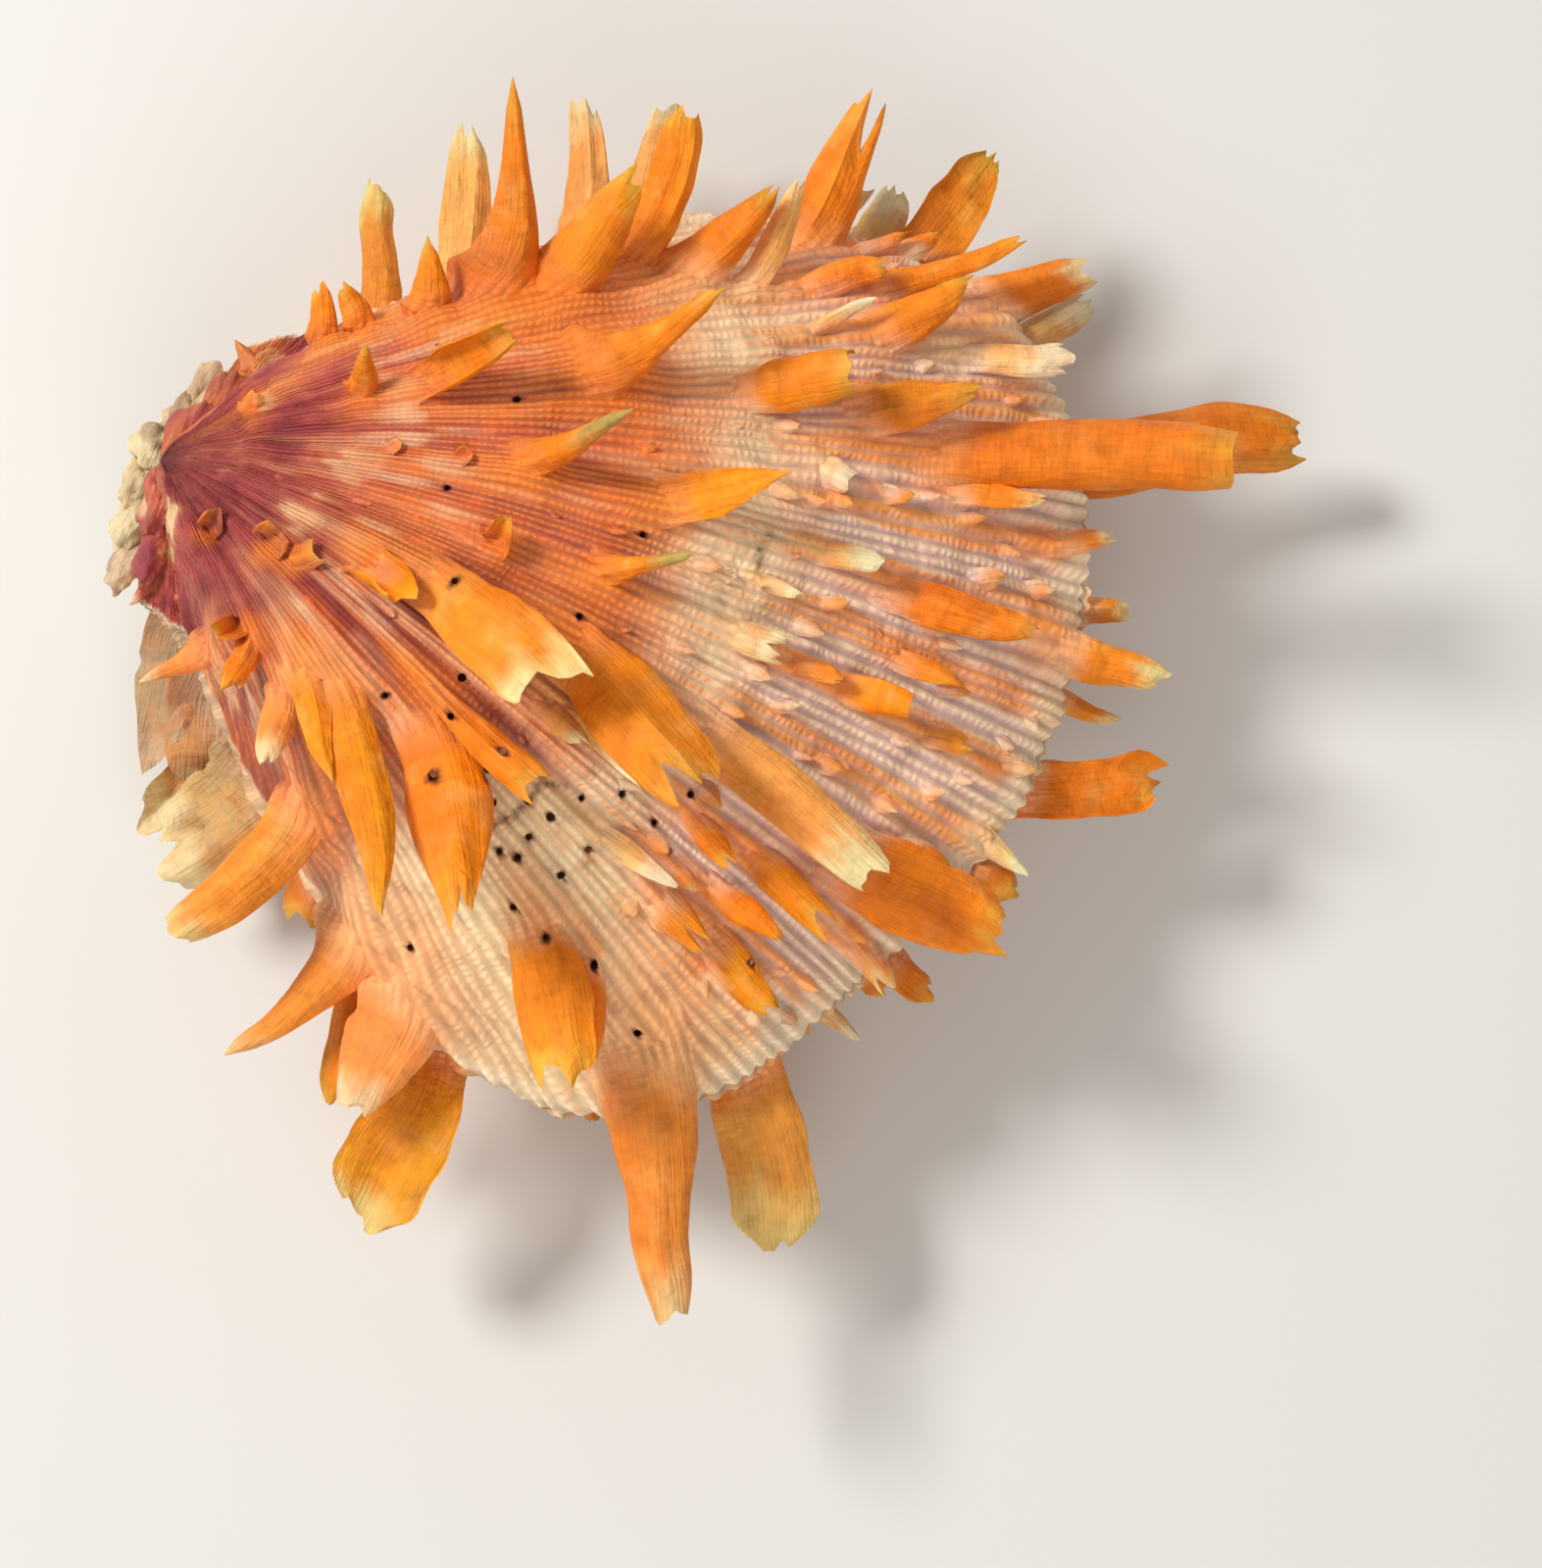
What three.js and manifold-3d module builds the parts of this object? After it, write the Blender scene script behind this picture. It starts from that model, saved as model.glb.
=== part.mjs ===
// A thorny oyster shell with both valves shut. It stands on the flat scar where its lower valve was
// cemented to rock. Millimetres, +Z up, +X from the hinge towards the far margin, origin in the scar.
// Each valve is a thick hollow cap of one piece with its spines. A dark ligament joins them.
import * as THREE from 'three';
import Module from 'manifold-3d';

const wasm = await Module();
wasm.setup();

// Driving dimensions, in the shell's own frame: X from the middle of the hinge line, Z from the seam.
const HINGE_TO_SCAR = 34;
const SEAM_HEIGHT = 24;
const SEAM_GAP = 0.3;
const PIECE_GAP = 0.3;

// Outline of both valves from above: degrees from the midline, and distance from the hinge's middle.
const OUTLINE = [
  [-90, 14.5], [-75, 16], [-60, 22], [-50, 47], [-40, 73], [-30, 83], [-15, 87], [0, 91.5],
  [15, 92.5], [30, 88], [40, 76], [50, 57.5], [60, 31], [70, 20.5], [90, 14.5],
];
const FAN_STEPS = 50;
const HINGE_STEPS = 4;

// A valve's outer face grows from its umbo to the outline. Its height bulges most at a growth share
// of 0.5 ** (1 / peak), and the bulge fades at the ears, fanHalf degrees from the midline.
const UPPER = { umbo: [-2.5, -1, 6], bulge: 22, peak: 0.75, fanHalf: 68 };
const LOWER = { umbo: [-5, 0, -9], bulge: -25, peak: 0.8, fanHalf: 72 };
const GROWTH_SHARES = [1, 0.95, 0.86, 0.72, 0.56, 0.4, 0.24, 0.1];
const RIB_WAVE = 0.35;
const RIB_COUNT = 25;

// The hollow inside each valve is a smooth cap, centred well in front of the hinge plate.
const HOLLOW = { centre: 46, plan: 0.87, upperDepth: 17, lowerDepth: 19 };
const HOLLOW_SHARES = [1, 0.85, 0.65, 0.4, 0.18];

// Hinge: teeth as [x, y, base radius, top radius, height], and the pit that holds the ligament.
const LOWER_TEETH = [[3.6, 5.4, 1.7, 1.1, 2.4], [3.6, -5.4, 1.7, 1.1, 2.4]];
const UPPER_TEETH = [[3.2, 9.6, 1.4, 0.9, 2], [3.2, -9.6, 1.4, 0.9, 2]];
const TOOTH_SIDES = 8;
const PIT = { front: 5.4, back: -7, frontHalf: 2.3, backHalf: 1.5, depth: 4 };
const LIGAMENT_BACK = -0.8;

// Spines, one row each: rib in degrees from the midline, distance of the root from the hinge's
// middle, lean away from the rib in degrees, rise above the horizontal in degrees, length, and the
// widths at root, middle and tip. Positive angles are on the far side.
const UPPER_SPINES = [
  // far ear and shoulder
  [52, 19, 65, 15, 5.5, 3.4, 2.8, 2], [49, 23, 90, 18, 5, 3.6, 3, 1.8],
  [44.5, 29.5, 70, 24, 8, 5, 3.6, 1.2], [44, 38.5, 70, 26, 22, 9, 4, 0.6],
  [43, 51, 53, 20, 16, 4.6, 4.6, 4.2], [42, 42, 34, 26, 14.5, 8, 6.2, 3.6],
  [41, 68, 52, 3, 15, 7.2, 6, 4], [39.5, 54.5, 29, 16, 13, 7, 5, 2.2],
  [37, 61, 54, 14, 12.5, 3, 3, 1.6], [37, 65, 0, 12, 9.5, 3, 3.6, 2.8],
  [35.5, 72, 7, 8, 17, 4.4, 2.6, 1.6], [34, 83, 10, -4, 12, 6.2, 4.8, 3.8],
  [39, 75, 14, 0, 6, 3, 2.8, 1.6], [31, 71, 21, 14, 12, 6, 5, 2.4],
  [30, 78.5, -10, 2, 13, 3.4, 3.4, 4], [31.5, 64, 18, 10, 9, 2, 1.6, 1],
  // far middle ribs
  [28, 21.5, 80, 60, 7.5, 3.6, 2.4, 0.6], [28, 27.5, 15, 45, 13.5, 3.2, 4.2, 2.6],
  [27.5, 44.5, 24, 36, 17, 8.5, 3.8, 1.4], [25.5, 57.5, 4, 24, 12, 4, 5.6, 5.2],
  [24, 68.5, 7, 18, 13, 6.6, 5.2, 2.4], [22, 76.5, -2, 4, 30.5, 6, 7, 6.6],
  [19, 77.5, -4, 8, 10.5, 3, 2.8, 1.4], [16.5, 88, 15, 0, 7, 3, 2.6, 1.6],
  // middle ribs
  [13, 38.5, 29, 48, 15.5, 4.6, 2.4, 0.6], [12, 51.5, 19, 32, 14, 4.8, 4.8, 0.8],
  [11.5, 65.5, -3, 18, 7.5, 2.4, 2.6, 2.2], [10, 73.5, -6, 12, 15.5, 3, 4.6, 3],
  [10, 89, -4, 0, 13, 5.8, 4.6, 3.2], [5.5, 75, -10, 12, 6.5, 2, 2.6, 2],
  [1.5, 47.5, 27, 40, 11.5, 4, 1.8, 1], [1.5, 71, 1, 16, 8.5, 2.4, 3.6, 2.8],
  [1, 79.5, 3, 10, 6, 2.2, 3, 2], [-0.5, 37, 80, 60, 5, 3.6, 3, 2.2],
  [-3, 89, -17, -3, 7, 3.8, 2.2, 0.6],
  // near middle ribs
  [-7, 48, -23, 22, 19, 5.6, 9.4, 7.2], [-7, 82, 3, 4, 6.5, 2, 4, 3],
  [-7.5, 62, -13, 12, 23.5, 4.4, 6, 5], [-9, 32.5, -16, 30, 20.5, 4.6, 8, 8.4],
  [-10, 78, 6, 4, 18, 7, 9, 7.8], [-12.5, 26, -17, 40, 9, 3.8, 3.8, 3.6],
  [-13.5, 71, -11, 10, 11, 2.4, 3.6, 2.8], [-13.5, 83.5, -22, 0, 6, 2.4, 3.2, 2],
  [-14.5, 64.5, -13, 14, 7, 2, 2.8, 2.2], [-18, 70, 3, 8, 10, 2.2, 3.2, 1],
  [-21, 73, -5, 5, 10, 3.8, 4.6, 2.4], [-21.5, 59, 8, 14, 10.5, 2, 2.6, 0.8],
  [-21.5, 66.5, -5, 12, 7, 2.8, 4.2, 2.2], [-23, 37.5, 0, 14, 17, 2, 3.2, 4.2],
  // near side, shoulder and ear
  [-25, 42.5, -37, 24, 22, 5.6, 8.6, 3.2], [-28.5, 66, -34, 8, 11.5, 2, 3, 1.2],
  [-29, 75.5, -34, -4, 29, 12, 8.2, 4.4], [-30.5, 61, -26, 14, 18, 4.8, 7.6, 6.6],
  [-33, 34.5, -26, 30, 28, 4.4, 5.2, 1.4], [-36.5, 29.5, -18, 30, 15, 3.8, 3.6, 1],
  [-41, 30, -41, 20, 9, 3.6, 4.2, 2], [-43, 24.5, -56, 25, 7, 3, 2.8, 2.6],
  [-44, 60, -56, -2, 13, 10, 9, 4.4], [-46, 42, -75, 6, 18.5, 5.8, 6.2, 4.4],
  [-46.5, 54, -77, -2, 18.5, 8, 4.2, 1.2], [-56, 21.5, -81, 8, 8.5, 4.4, 2.2, 0.6],
];
const LOWER_SPINES = [
  // round the margin, from the far ear to the near ear
  [60, 26, 58, -6, 17, 5.6, 4.2, 3.4], [56.5, 35, 57, -6, 19, 4.8, 5.8, 3.4],
  [52, 48.5, 66, -8, 17, 5.4, 4.8, 3], [49.5, 52.5, 51, -8, 17.5, 6.6, 6, 5.2],
  [43.5, 63, 26, -6, 12, 6, 6.6, 6], [40.5, 73, 49, -10, 9, 6, 5.2, 3.4],
  [38, 77, 41, -8, 16.5, 5.6, 6.6, 4.2], [31, 86, 26, -8, 9, 3, 3.6, 3.8],
  [23.5, 86.5, 5, -12, 29.5, 7, 7.6, 7.2], [13, 91, 11, -10, 7, 3, 2.8, 2.2],
  [7.5, 90.5, -5, -12, 8, 2.8, 2.4, 1.4], [0, 90, 30, -14, 16.5, 5.6, 6.2, 6.6],
  [-5, 89, -4, -8, 6, 6, 5.6, 3.4], [-8.5, 88, -9, -8, 8.5, 3.4, 2.2, 0.6],
  [-13, 85.5, -4, -10, 7.5, 4, 4, 3.2], [-18.5, 84, 0, -6, 6.5, 2.6, 2, 0.8],
  [-23.5, 82.5, -38, -14, 21, 7, 9.6, 8.4], [-42.5, 66, -57, -16, 20.5, 5, 9.2, 10.8],
  [-47, 54.5, -38, -14, 15, 4, 5.2, 4], [-47.5, 42.5, -50, -10, 6, 5.2, 5.6, 4.8],
  // lower flanks
  [57, 24, 40, -14, 7, 4, 4, 2.5], [50, 43, 45, -16, 9, 4, 4.5, 3],
  [43, 58, 30, -14, 10, 4.5, 5, 3], [36, 68, 15, -14, 11, 5, 5, 3.5],
  [28, 74, 10, -14, 9, 4, 4.5, 3], [19, 77, 5, -14, 12, 5, 5.5, 4],
  [9, 78, 0, -14, 8, 4, 4, 2.5], [-3, 77, 5, -14, 10, 5, 5, 3.5],
  [-12, 74, -5, -14, 9, 4, 4.5, 3], [-19, 72, -8, -14, 12, 5, 6, 4],
  [-27, 70, -12, -14, 9, 4.5, 5, 3], [-34, 65, -20, -14, 12, 5, 5.5, 4],
  [-40, 59, -30, -14, 8, 4, 4, 3],
  // pale leaves beside the near ear, where the valve spread over the rock
  [-53, 25, -8, -8, 13, 13, 14, 9], [-57, 22, -12, -18, 12, 12, 13, 8],
  [-62, 16, -20, -26, 13, 10, 12, 8],
];
const SPINE_SIDES = 5;
const SPINE_SUNK = 2;
const SPINE_FLATNESS = 0.42;
const SPINE_THICKNESS = { min: 1, max: 3.2 };
const SPINE_BOW = 0.05;

const COLOURS = { upper: 0xe8935a, lower: 0xe9b184, ligament: 0x3a2418 };
const SHELL_FINISH = { roughness: 0.55, metalness: 0 };
const LIGAMENT_FINISH = { roughness: 0.45, metalness: 0 };

const radians = THREE.MathUtils.degToRad;
const mix = THREE.MathUtils.lerp;

// Distance of the outline from the hinge's middle at an angle, smooth through the outline's points.
function reach(angle) {
  const last = OUTLINE.length - 1;
  const after = OUTLINE.findIndex(([a], i) => i > 0 && angle <= a);
  const i = (after < 0 ? last : after) - 1;
  const slope = k => {
    const [a0, r0] = OUTLINE[Math.max(k - 1, 0)];
    const [a1, r1] = OUTLINE[Math.min(k + 1, last)];
    return (r1 - r0) / (a1 - a0);
  };
  const [a0, r0] = OUTLINE[i];
  const [a1, r1] = OUTLINE[i + 1];
  const step = a1 - a0;
  const t = THREE.MathUtils.clamp((angle - a0) / step, 0, 1);
  const ease = t * t * (3 - 2 * t);
  const bend = t * (1 - t) ** 2 * slope(i) - t * t * (1 - t) * slope(i + 1);
  return mix(r0, r1, ease) + step * bend;
}

// Points round the whole outline, with the angle of each: the fan, then back along the hinge line.
function outlinePoints() {
  const points = [];
  for (let i = 0; i <= FAN_STEPS; i += 1) {
    const angle = -90 + (180 * i) / FAN_STEPS;
    const r = reach(angle);
    points.push({ angle, x: r * Math.cos(radians(angle)), y: r * Math.sin(radians(angle)) });
  }
  const ear = reach(90);
  for (let i = 1; i < HINGE_STEPS; i += 1) {
    points.push({ angle: 90, x: 0, y: ear * (1 - (2 * i) / HINGE_STEPS) });
  }
  return points;
}

// Height of a valve's outer face above the line from umbo to margin.
function bulgeAt(valve, angle, share) {
  const fade = Math.max(0, 1 - Math.abs(angle / valve.fanHalf) ** 2.6) ** 0.8;
  return valve.bulge * Math.sin(Math.PI * Math.min(share, 1) ** valve.peak) * fade;
}

// A point of a valve's outer face, from a point of the outline and its share of the valve's growth.
function facePoint(valve, margin, share) {
  const [ux, uy, uz] = valve.umbo;
  const z = uz * (1 - share) + bulgeAt(valve, margin.angle, share);
  return [mix(ux, margin.x, share), mix(uy, margin.y, share), z];
}

// A closed solid through rings of equal length, each end closed by a fan to its own centre.
function loft(rings, startCentre, endCentre) {
  const count = rings[0].length;
  const points = [...rings.flat(), startCentre, endCentre];
  const index = [];
  for (let r = 0; r < rings.length - 1; r += 1) {
    for (let i = 0; i < count; i += 1) {
      const a = r * count + i;
      const b = r * count + ((i + 1) % count);
      index.push(a, b, b + count, a, b + count, a + count);
    }
  }
  const start = points.length - 2;
  const end = points.length - 1;
  const top = (rings.length - 1) * count;
  for (let i = 0; i < count; i += 1) {
    const next = (i + 1) % count;
    index.push(start, next, i, end, top + i, top + next);
  }
  return solid(points, index);
}

// A manifold solid from points and triangles, turned outwards where it was built inside out.
function solid(points, index) {
  let volume = 0;
  for (let i = 0; i < index.length; i += 3) {
    const [a, b, c] = [0, 1, 2].map(k => new THREE.Vector3(...points[index[i + k]]));
    volume += a.dot(b.cross(c));
  }
  const faces = volume < 0 ? index.slice().reverse() : index;
  const mesh = { numProp: 3, vertProperties: Float32Array.from(points.flat()) };
  return new wasm.Manifold(new wasm.Mesh({ ...mesh, triVerts: Uint32Array.from(faces) }));
}

// The outer body of a valve. grow makes it larger all round, to cut its neighbour clear of it.
function valveBody(valve, grow) {
  const up = Math.sign(valve.bulge);
  const seam = up * (SEAM_GAP / 2 - grow);
  const wide = margin => 1 + grow / Math.hypot(margin.x - HOLLOW.centre, margin.y);
  const margins = outlinePoints();
  const rings = GROWTH_SHARES.map(share => margins.map(margin => {
    const [x, y, z] = facePoint(valve, margin, share);
    const wave = RIB_WAVE * Math.cos((RIB_COUNT * Math.PI * (margin.angle + 90)) / 90) * share;
    const out = wide(margin) * (1 + wave / reach(margin.angle));
    const height = share === 1 ? seam : z + up * (SEAM_GAP / 2 + grow);
    return [HOLLOW.centre + (x - HOLLOW.centre) * out, y * out, height];
  }));
  const [ux, uy, uz] = valve.umbo;
  return loft(rings, [HOLLOW.centre, 0, seam], [ux, uy, uz + up * grow]);
}

// The smooth hollow on the inner side of a valve, opened past the seam by a short straight wall.
function hollow(depth) {
  const up = Math.sign(depth);
  const rings = [1, ...HOLLOW_SHARES].map((share, i) => outlinePoints().map(margin => {
    const scale = HOLLOW.plan * share;
    const x = HOLLOW.centre + (margin.x - HOLLOW.centre) * scale;
    const z = i === 0 ? -up : depth * (1 - share * share) + up * SEAM_GAP;
    return [x, margin.y * scale, z];
  }));
  return loft(rings, [HOLLOW.centre, 0, -up], [HOLLOW.centre, 0, depth]);
}

// One spine: a flattened tapering blade, sunk into the valve at its root and slightly bowed.
function spine(valve, [rib, from, lean, rise, length, ...widths]) {
  const r = reach(rib);
  const margin = { angle: rib, x: r * Math.cos(radians(rib)), y: r * Math.sin(radians(rib)) };
  const root = new THREE.Vector3(...facePoint(valve, margin, from / r));
  const heading = radians(rib + lean);
  const level = Math.cos(radians(rise));
  const along = new THREE.Vector3(
    Math.cos(heading) * level, Math.sin(heading) * level, Math.sin(radians(rise)),
  );
  const side = new THREE.Vector3(-Math.sin(heading), Math.cos(heading), 0);
  const over = new THREE.Vector3().crossVectors(along, side);
  const bow = SPINE_BOW * length;
  const stations = [
    { at: -SPINE_SUNK, width: widths[0], bow: 0 },
    { at: length * 0.08, width: widths[0], bow: 0 },
    { at: length * 0.5, width: widths[1], bow },
    { at: length, width: widths[2], bow: 0 },
  ];
  const centre = station => root.clone().addScaledVector(along, station.at)
    .addScaledVector(over, station.bow);
  const rings = stations.map(station => {
    const { min, max } = SPINE_THICKNESS;
    const width = Math.max(station.width, min);
    const thick = THREE.MathUtils.clamp(width * SPINE_FLATNESS, min, max);
    return Array.from({ length: SPINE_SIDES }, (_, k) => {
      const turn = (k * 2 * Math.PI) / SPINE_SIDES;
      return centre(station).addScaledVector(side, (Math.cos(turn) * width) / 2)
        .addScaledVector(over, (Math.sin(turn) * thick) / 2).toArray();
    });
  });
  return loft(rings, centre(stations[0]).toArray(), centre(stations.at(-1)).toArray());
}

// A hinge tooth, or with grow the socket that it sits in. up is 1 for a tooth of the lower valve.
function tooth([x, y, baseRadius, topRadius, height], up, grow) {
  const ring = (radius, z) => Array.from({ length: TOOTH_SIDES }, (_, k) => {
    const turn = (k * 2 * Math.PI) / TOOTH_SIDES;
    return [x + (radius + grow) * Math.cos(turn), y + (radius + grow) * Math.sin(turn), z * up];
  });
  const rings = [ring(baseRadius, -1), ring(baseRadius, 0), ring(topRadius, height + grow)];
  return loft(rings, [x, y, -up], [x, y, (height + grow) * up]);
}

// The tapering block that fills the ligament pit, from back to front. inset leaves it clear.
function pitBlock(back, inset) {
  const share = (back - PIT.back) / (PIT.front - PIT.back);
  const backHalf = mix(PIT.backHalf, PIT.frontHalf, share) - inset;
  const front = PIT.front - inset;
  const depth = PIT.depth - inset;
  const block = new THREE.BoxGeometry(front - back, 2, 2 * depth);
  block.translate((front + back) / 2, 0, 0);
  return boxSolid(block, x => mix(backHalf, PIT.frontHalf - inset, (x - back) / (front - back)));
}

// A box geometry as a solid, with its half width along Y given at each X.
function boxSolid(geometry, halfWidth = () => 1) {
  const corners = new Map();
  const points = [];
  const place = geometry.getAttribute('position');
  const index = Array.from(geometry.getIndex().array, i => {
    const [x, y, z] = [place.getX(i), place.getY(i), place.getZ(i)];
    const key = `${x},${y},${z}`;
    if (!corners.has(key)) {
      corners.set(key, points.length);
      points.push([x, y * halfWidth(x), z]);
    }
    return corners.get(key);
  });
  return solid(points, index);
}

// All that lies under the plane where the shell was cemented down.
function rock() {
  const size = 400;
  const geometry = new THREE.BoxGeometry(size, size, size);
  geometry.translate(0, 0, -SEAM_HEIGHT - size / 2);
  return boxSolid(geometry);
}

// A named mesh at its place in the row frame.
function piece(name, body, colour, finish) {
  const { vertProperties, triVerts } = body.getMesh();
  const geometry = new THREE.BufferGeometry();
  geometry.setAttribute('position', new THREE.BufferAttribute(vertProperties, 3));
  geometry.setIndex(new THREE.BufferAttribute(triVerts, 1));
  geometry.computeVertexNormals();
  const material = new THREE.MeshStandardMaterial({ color: colour, flatShading: true, ...finish });
  const mesh = new THREE.Mesh(geometry, material);
  mesh.name = name;
  mesh.position.set(-HINGE_TO_SCAR, 0, SEAM_HEIGHT);
  return mesh;
}

// A whole valve: the body and its spines, less the other valve's room, the hollow and the hinge cuts.
function valvePiece({ own, other, spines, depth, teeth, otherTeeth, toothUp }) {
  let body = valveBody(own, 0);
  for (const row of spines) body = body.add(spine(own, row));
  body = body.subtract(valveBody(other, SEAM_GAP / 2)).subtract(hollow(depth));
  for (const row of teeth) body = body.add(tooth(row, toothUp, 0));
  for (const row of otherTeeth) body = body.subtract(tooth(row, -toothUp, PIECE_GAP));
  return body.subtract(pitBlock(PIT.back, 0));
}

function upperValve() {
  const valve = { own: UPPER, other: LOWER, spines: UPPER_SPINES, depth: HOLLOW.upperDepth };
  return valvePiece({ ...valve, teeth: UPPER_TEETH, otherTeeth: LOWER_TEETH, toothUp: -1 });
}

function lowerValve() {
  const valve = { own: LOWER, other: UPPER, spines: LOWER_SPINES, depth: -HOLLOW.lowerDepth };
  const hinge = { teeth: LOWER_TEETH, otherTeeth: UPPER_TEETH, toothUp: 1 };
  return valvePiece({ ...valve, ...hinge }).subtract(rock());
}

const shell = new THREE.Group();
shell.add(
  piece('upper_valve', upperValve(), COLOURS.upper, SHELL_FINISH),
  piece('lower_valve', lowerValve(), COLOURS.lower, SHELL_FINISH),
  piece('hinge_ligament', pitBlock(LIGAMENT_BACK, PIECE_GAP), COLOURS.ligament, LIGAMENT_FINISH),
);

export default shell;
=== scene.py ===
import math

import bpy
import numpy as np
from mathutils import Matrix, Vector
from mathutils.kdtree import KDTree


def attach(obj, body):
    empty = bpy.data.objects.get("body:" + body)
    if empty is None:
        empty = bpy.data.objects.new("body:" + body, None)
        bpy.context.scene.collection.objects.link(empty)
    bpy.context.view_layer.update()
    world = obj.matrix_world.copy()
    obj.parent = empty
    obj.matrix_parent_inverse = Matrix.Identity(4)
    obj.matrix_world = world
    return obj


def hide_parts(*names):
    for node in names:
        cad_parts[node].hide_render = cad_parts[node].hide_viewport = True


# A thorny oyster shell, valves shut, upper valve up. Shapes are worked out in the shell's own
# millimetres (X from the middle of the hinge line, Z from the seam) and placed in metres.
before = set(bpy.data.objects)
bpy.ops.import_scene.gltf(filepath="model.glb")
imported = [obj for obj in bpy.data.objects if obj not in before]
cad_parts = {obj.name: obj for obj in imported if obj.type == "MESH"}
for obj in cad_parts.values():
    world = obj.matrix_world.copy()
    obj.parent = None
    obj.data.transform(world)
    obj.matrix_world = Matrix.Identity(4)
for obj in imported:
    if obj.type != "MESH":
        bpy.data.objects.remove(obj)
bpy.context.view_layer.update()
mm = 0.001
shellPlace = np.array([-34.0, 0.0, 24.0])  # hinge middle to scar centre, and the seam's height
scarLevel = -24.0  # the patch the shell was cemented by, below the seam


def step(low, high, x):  # an eased rise from 0 at low to 1 at high
    t = np.clip((np.asarray(x, float) - low) / (high - low), 0, 1)
    return t * t * (3 - 2 * t)


def bump(centre, width, x):  # a round hump of height 1
    return np.exp(-(((np.asarray(x, float) - centre) / width) ** 2))


def waver(u, v, seed):  # smooth noise from -1 to 1 on a unit grid
    u, v = np.broadcast_arrays(np.asarray(u, float), np.asarray(v, float))
    iu, iv = np.floor(u), np.floor(v)
    fu, fv = u - iu, v - iv
    fu, fv = fu * fu * (3 - 2 * fu), fv * fv * (3 - 2 * fv)

    def corner(du, dv):
        h = np.sin((iu + du) * 127.1 + (iv + dv) * 311.7 + seed * 74.7) * 43758.5453
        return (h - np.floor(h)) * 2 - 1

    near = corner(0, 0) * (1 - fu) + corner(1, 0) * fu
    far = corner(0, 1) * (1 - fu) + corner(1, 1) * fu
    return near * (1 - fv) + far * fv


def smoothThrough(points, at):  # a smooth curve through listed points
    xs, ys = np.array(points, float).T
    last = len(xs) - 1
    before, after = np.maximum(np.arange(last + 1) - 1, 0), np.minimum(np.arange(last + 1) + 1, last)
    slopes = (ys[after] - ys[before]) / (xs[after] - xs[before])
    at = np.asarray(at, float)
    i = np.clip(np.searchsorted(xs, at) - 1, 0, last - 1)
    gap = xs[i + 1] - xs[i]
    t = np.clip((at - xs[i]) / gap, 0, 1)
    ease = t * t * (3 - 2 * t)
    bend = t * (1 - t) ** 2 * slopes[i] - t * t * (1 - t) * slopes[i + 1]
    return ys[i] * (1 - ease) + ys[i + 1] * ease + gap * bend


def unit(v):  # the same direction, length 1
    return v / np.maximum(np.linalg.norm(v, axis=-1, keepdims=True), 1e-9)


def linear(hexColour):  # sRGB hex to linear light
    out = []
    for k in (1, 3, 5):
        c = int(hexColour[k:k + 2], 16) / 255
        out.append(c / 12.92 if c <= 0.04045 else ((c + 0.055) / 1.055) ** 2.4)
    return np.array(out)


def blendColour(base, hexColour, amount):  # a thin coat of the colour over the base
    amount = np.asarray(amount, float)[..., None]
    return base * (1 - amount) + linear(hexColour) * amount


# the shell's form, as the CAD has it

outline = [  # degrees from the midline, millimetres from the hinge to the margin
    (-90, 14.5), (-75, 16), (-60, 22), (-50, 47), (-40, 73), (-30, 83), (-15, 87), (0, 91.5),
    (15, 92.5), (30, 88), (40, 76), (50, 57.5), (60, 31), (70, 20.5), (90, 14.5),
]
upperForm = {"umbo": (-2.5, -1, 6), "bulge": 22, "peak": 0.75, "fanHalf": 68, "up": 1}
lowerForm = {"umbo": (-5, 0, -9), "bulge": -25, "peak": 0.8, "fanHalf": 72, "up": -1}
hollow = {"centre": 46, "plan": 0.87}


def reach(angle):  # from the hinge to the margin
    return smoothThrough(outline, angle)


def facePoint(form, angle, share, marginX=None, marginY=None):  # share: 0 at the umbo, 1 at the margin
    angle, share = np.broadcast_arrays(np.asarray(angle, float), np.asarray(share, float))
    if marginX is None:
        marginX = reach(angle) * np.cos(np.radians(angle))
        marginY = reach(angle) * np.sin(np.radians(angle))
    ux, uy, uz = form["umbo"]
    fade = np.maximum(0, 1 - np.abs(angle / form["fanHalf"]) ** 2.6) ** 0.8
    bulge = form["bulge"] * np.sin(np.pi * np.clip(share, 0, 1) ** form["peak"]) * fade
    x = ux + (marginX - ux) * share
    y = uy + (marginY - uy) * share
    return np.stack([x, y, uz * (1 - share) + bulge], -1)


def faceNormal(form, angle, share):  # outwards, away from the seam
    across = facePoint(form, angle + 0.5, share) - facePoint(form, angle - 0.5, share)
    along = facePoint(form, angle, share + 0.01) - facePoint(form, angle, share - 0.01)
    normal = unit(np.cross(along, across))
    return normal * np.sign(normal[..., 2:] * form["up"] + 1e-9)


# surface relief

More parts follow.
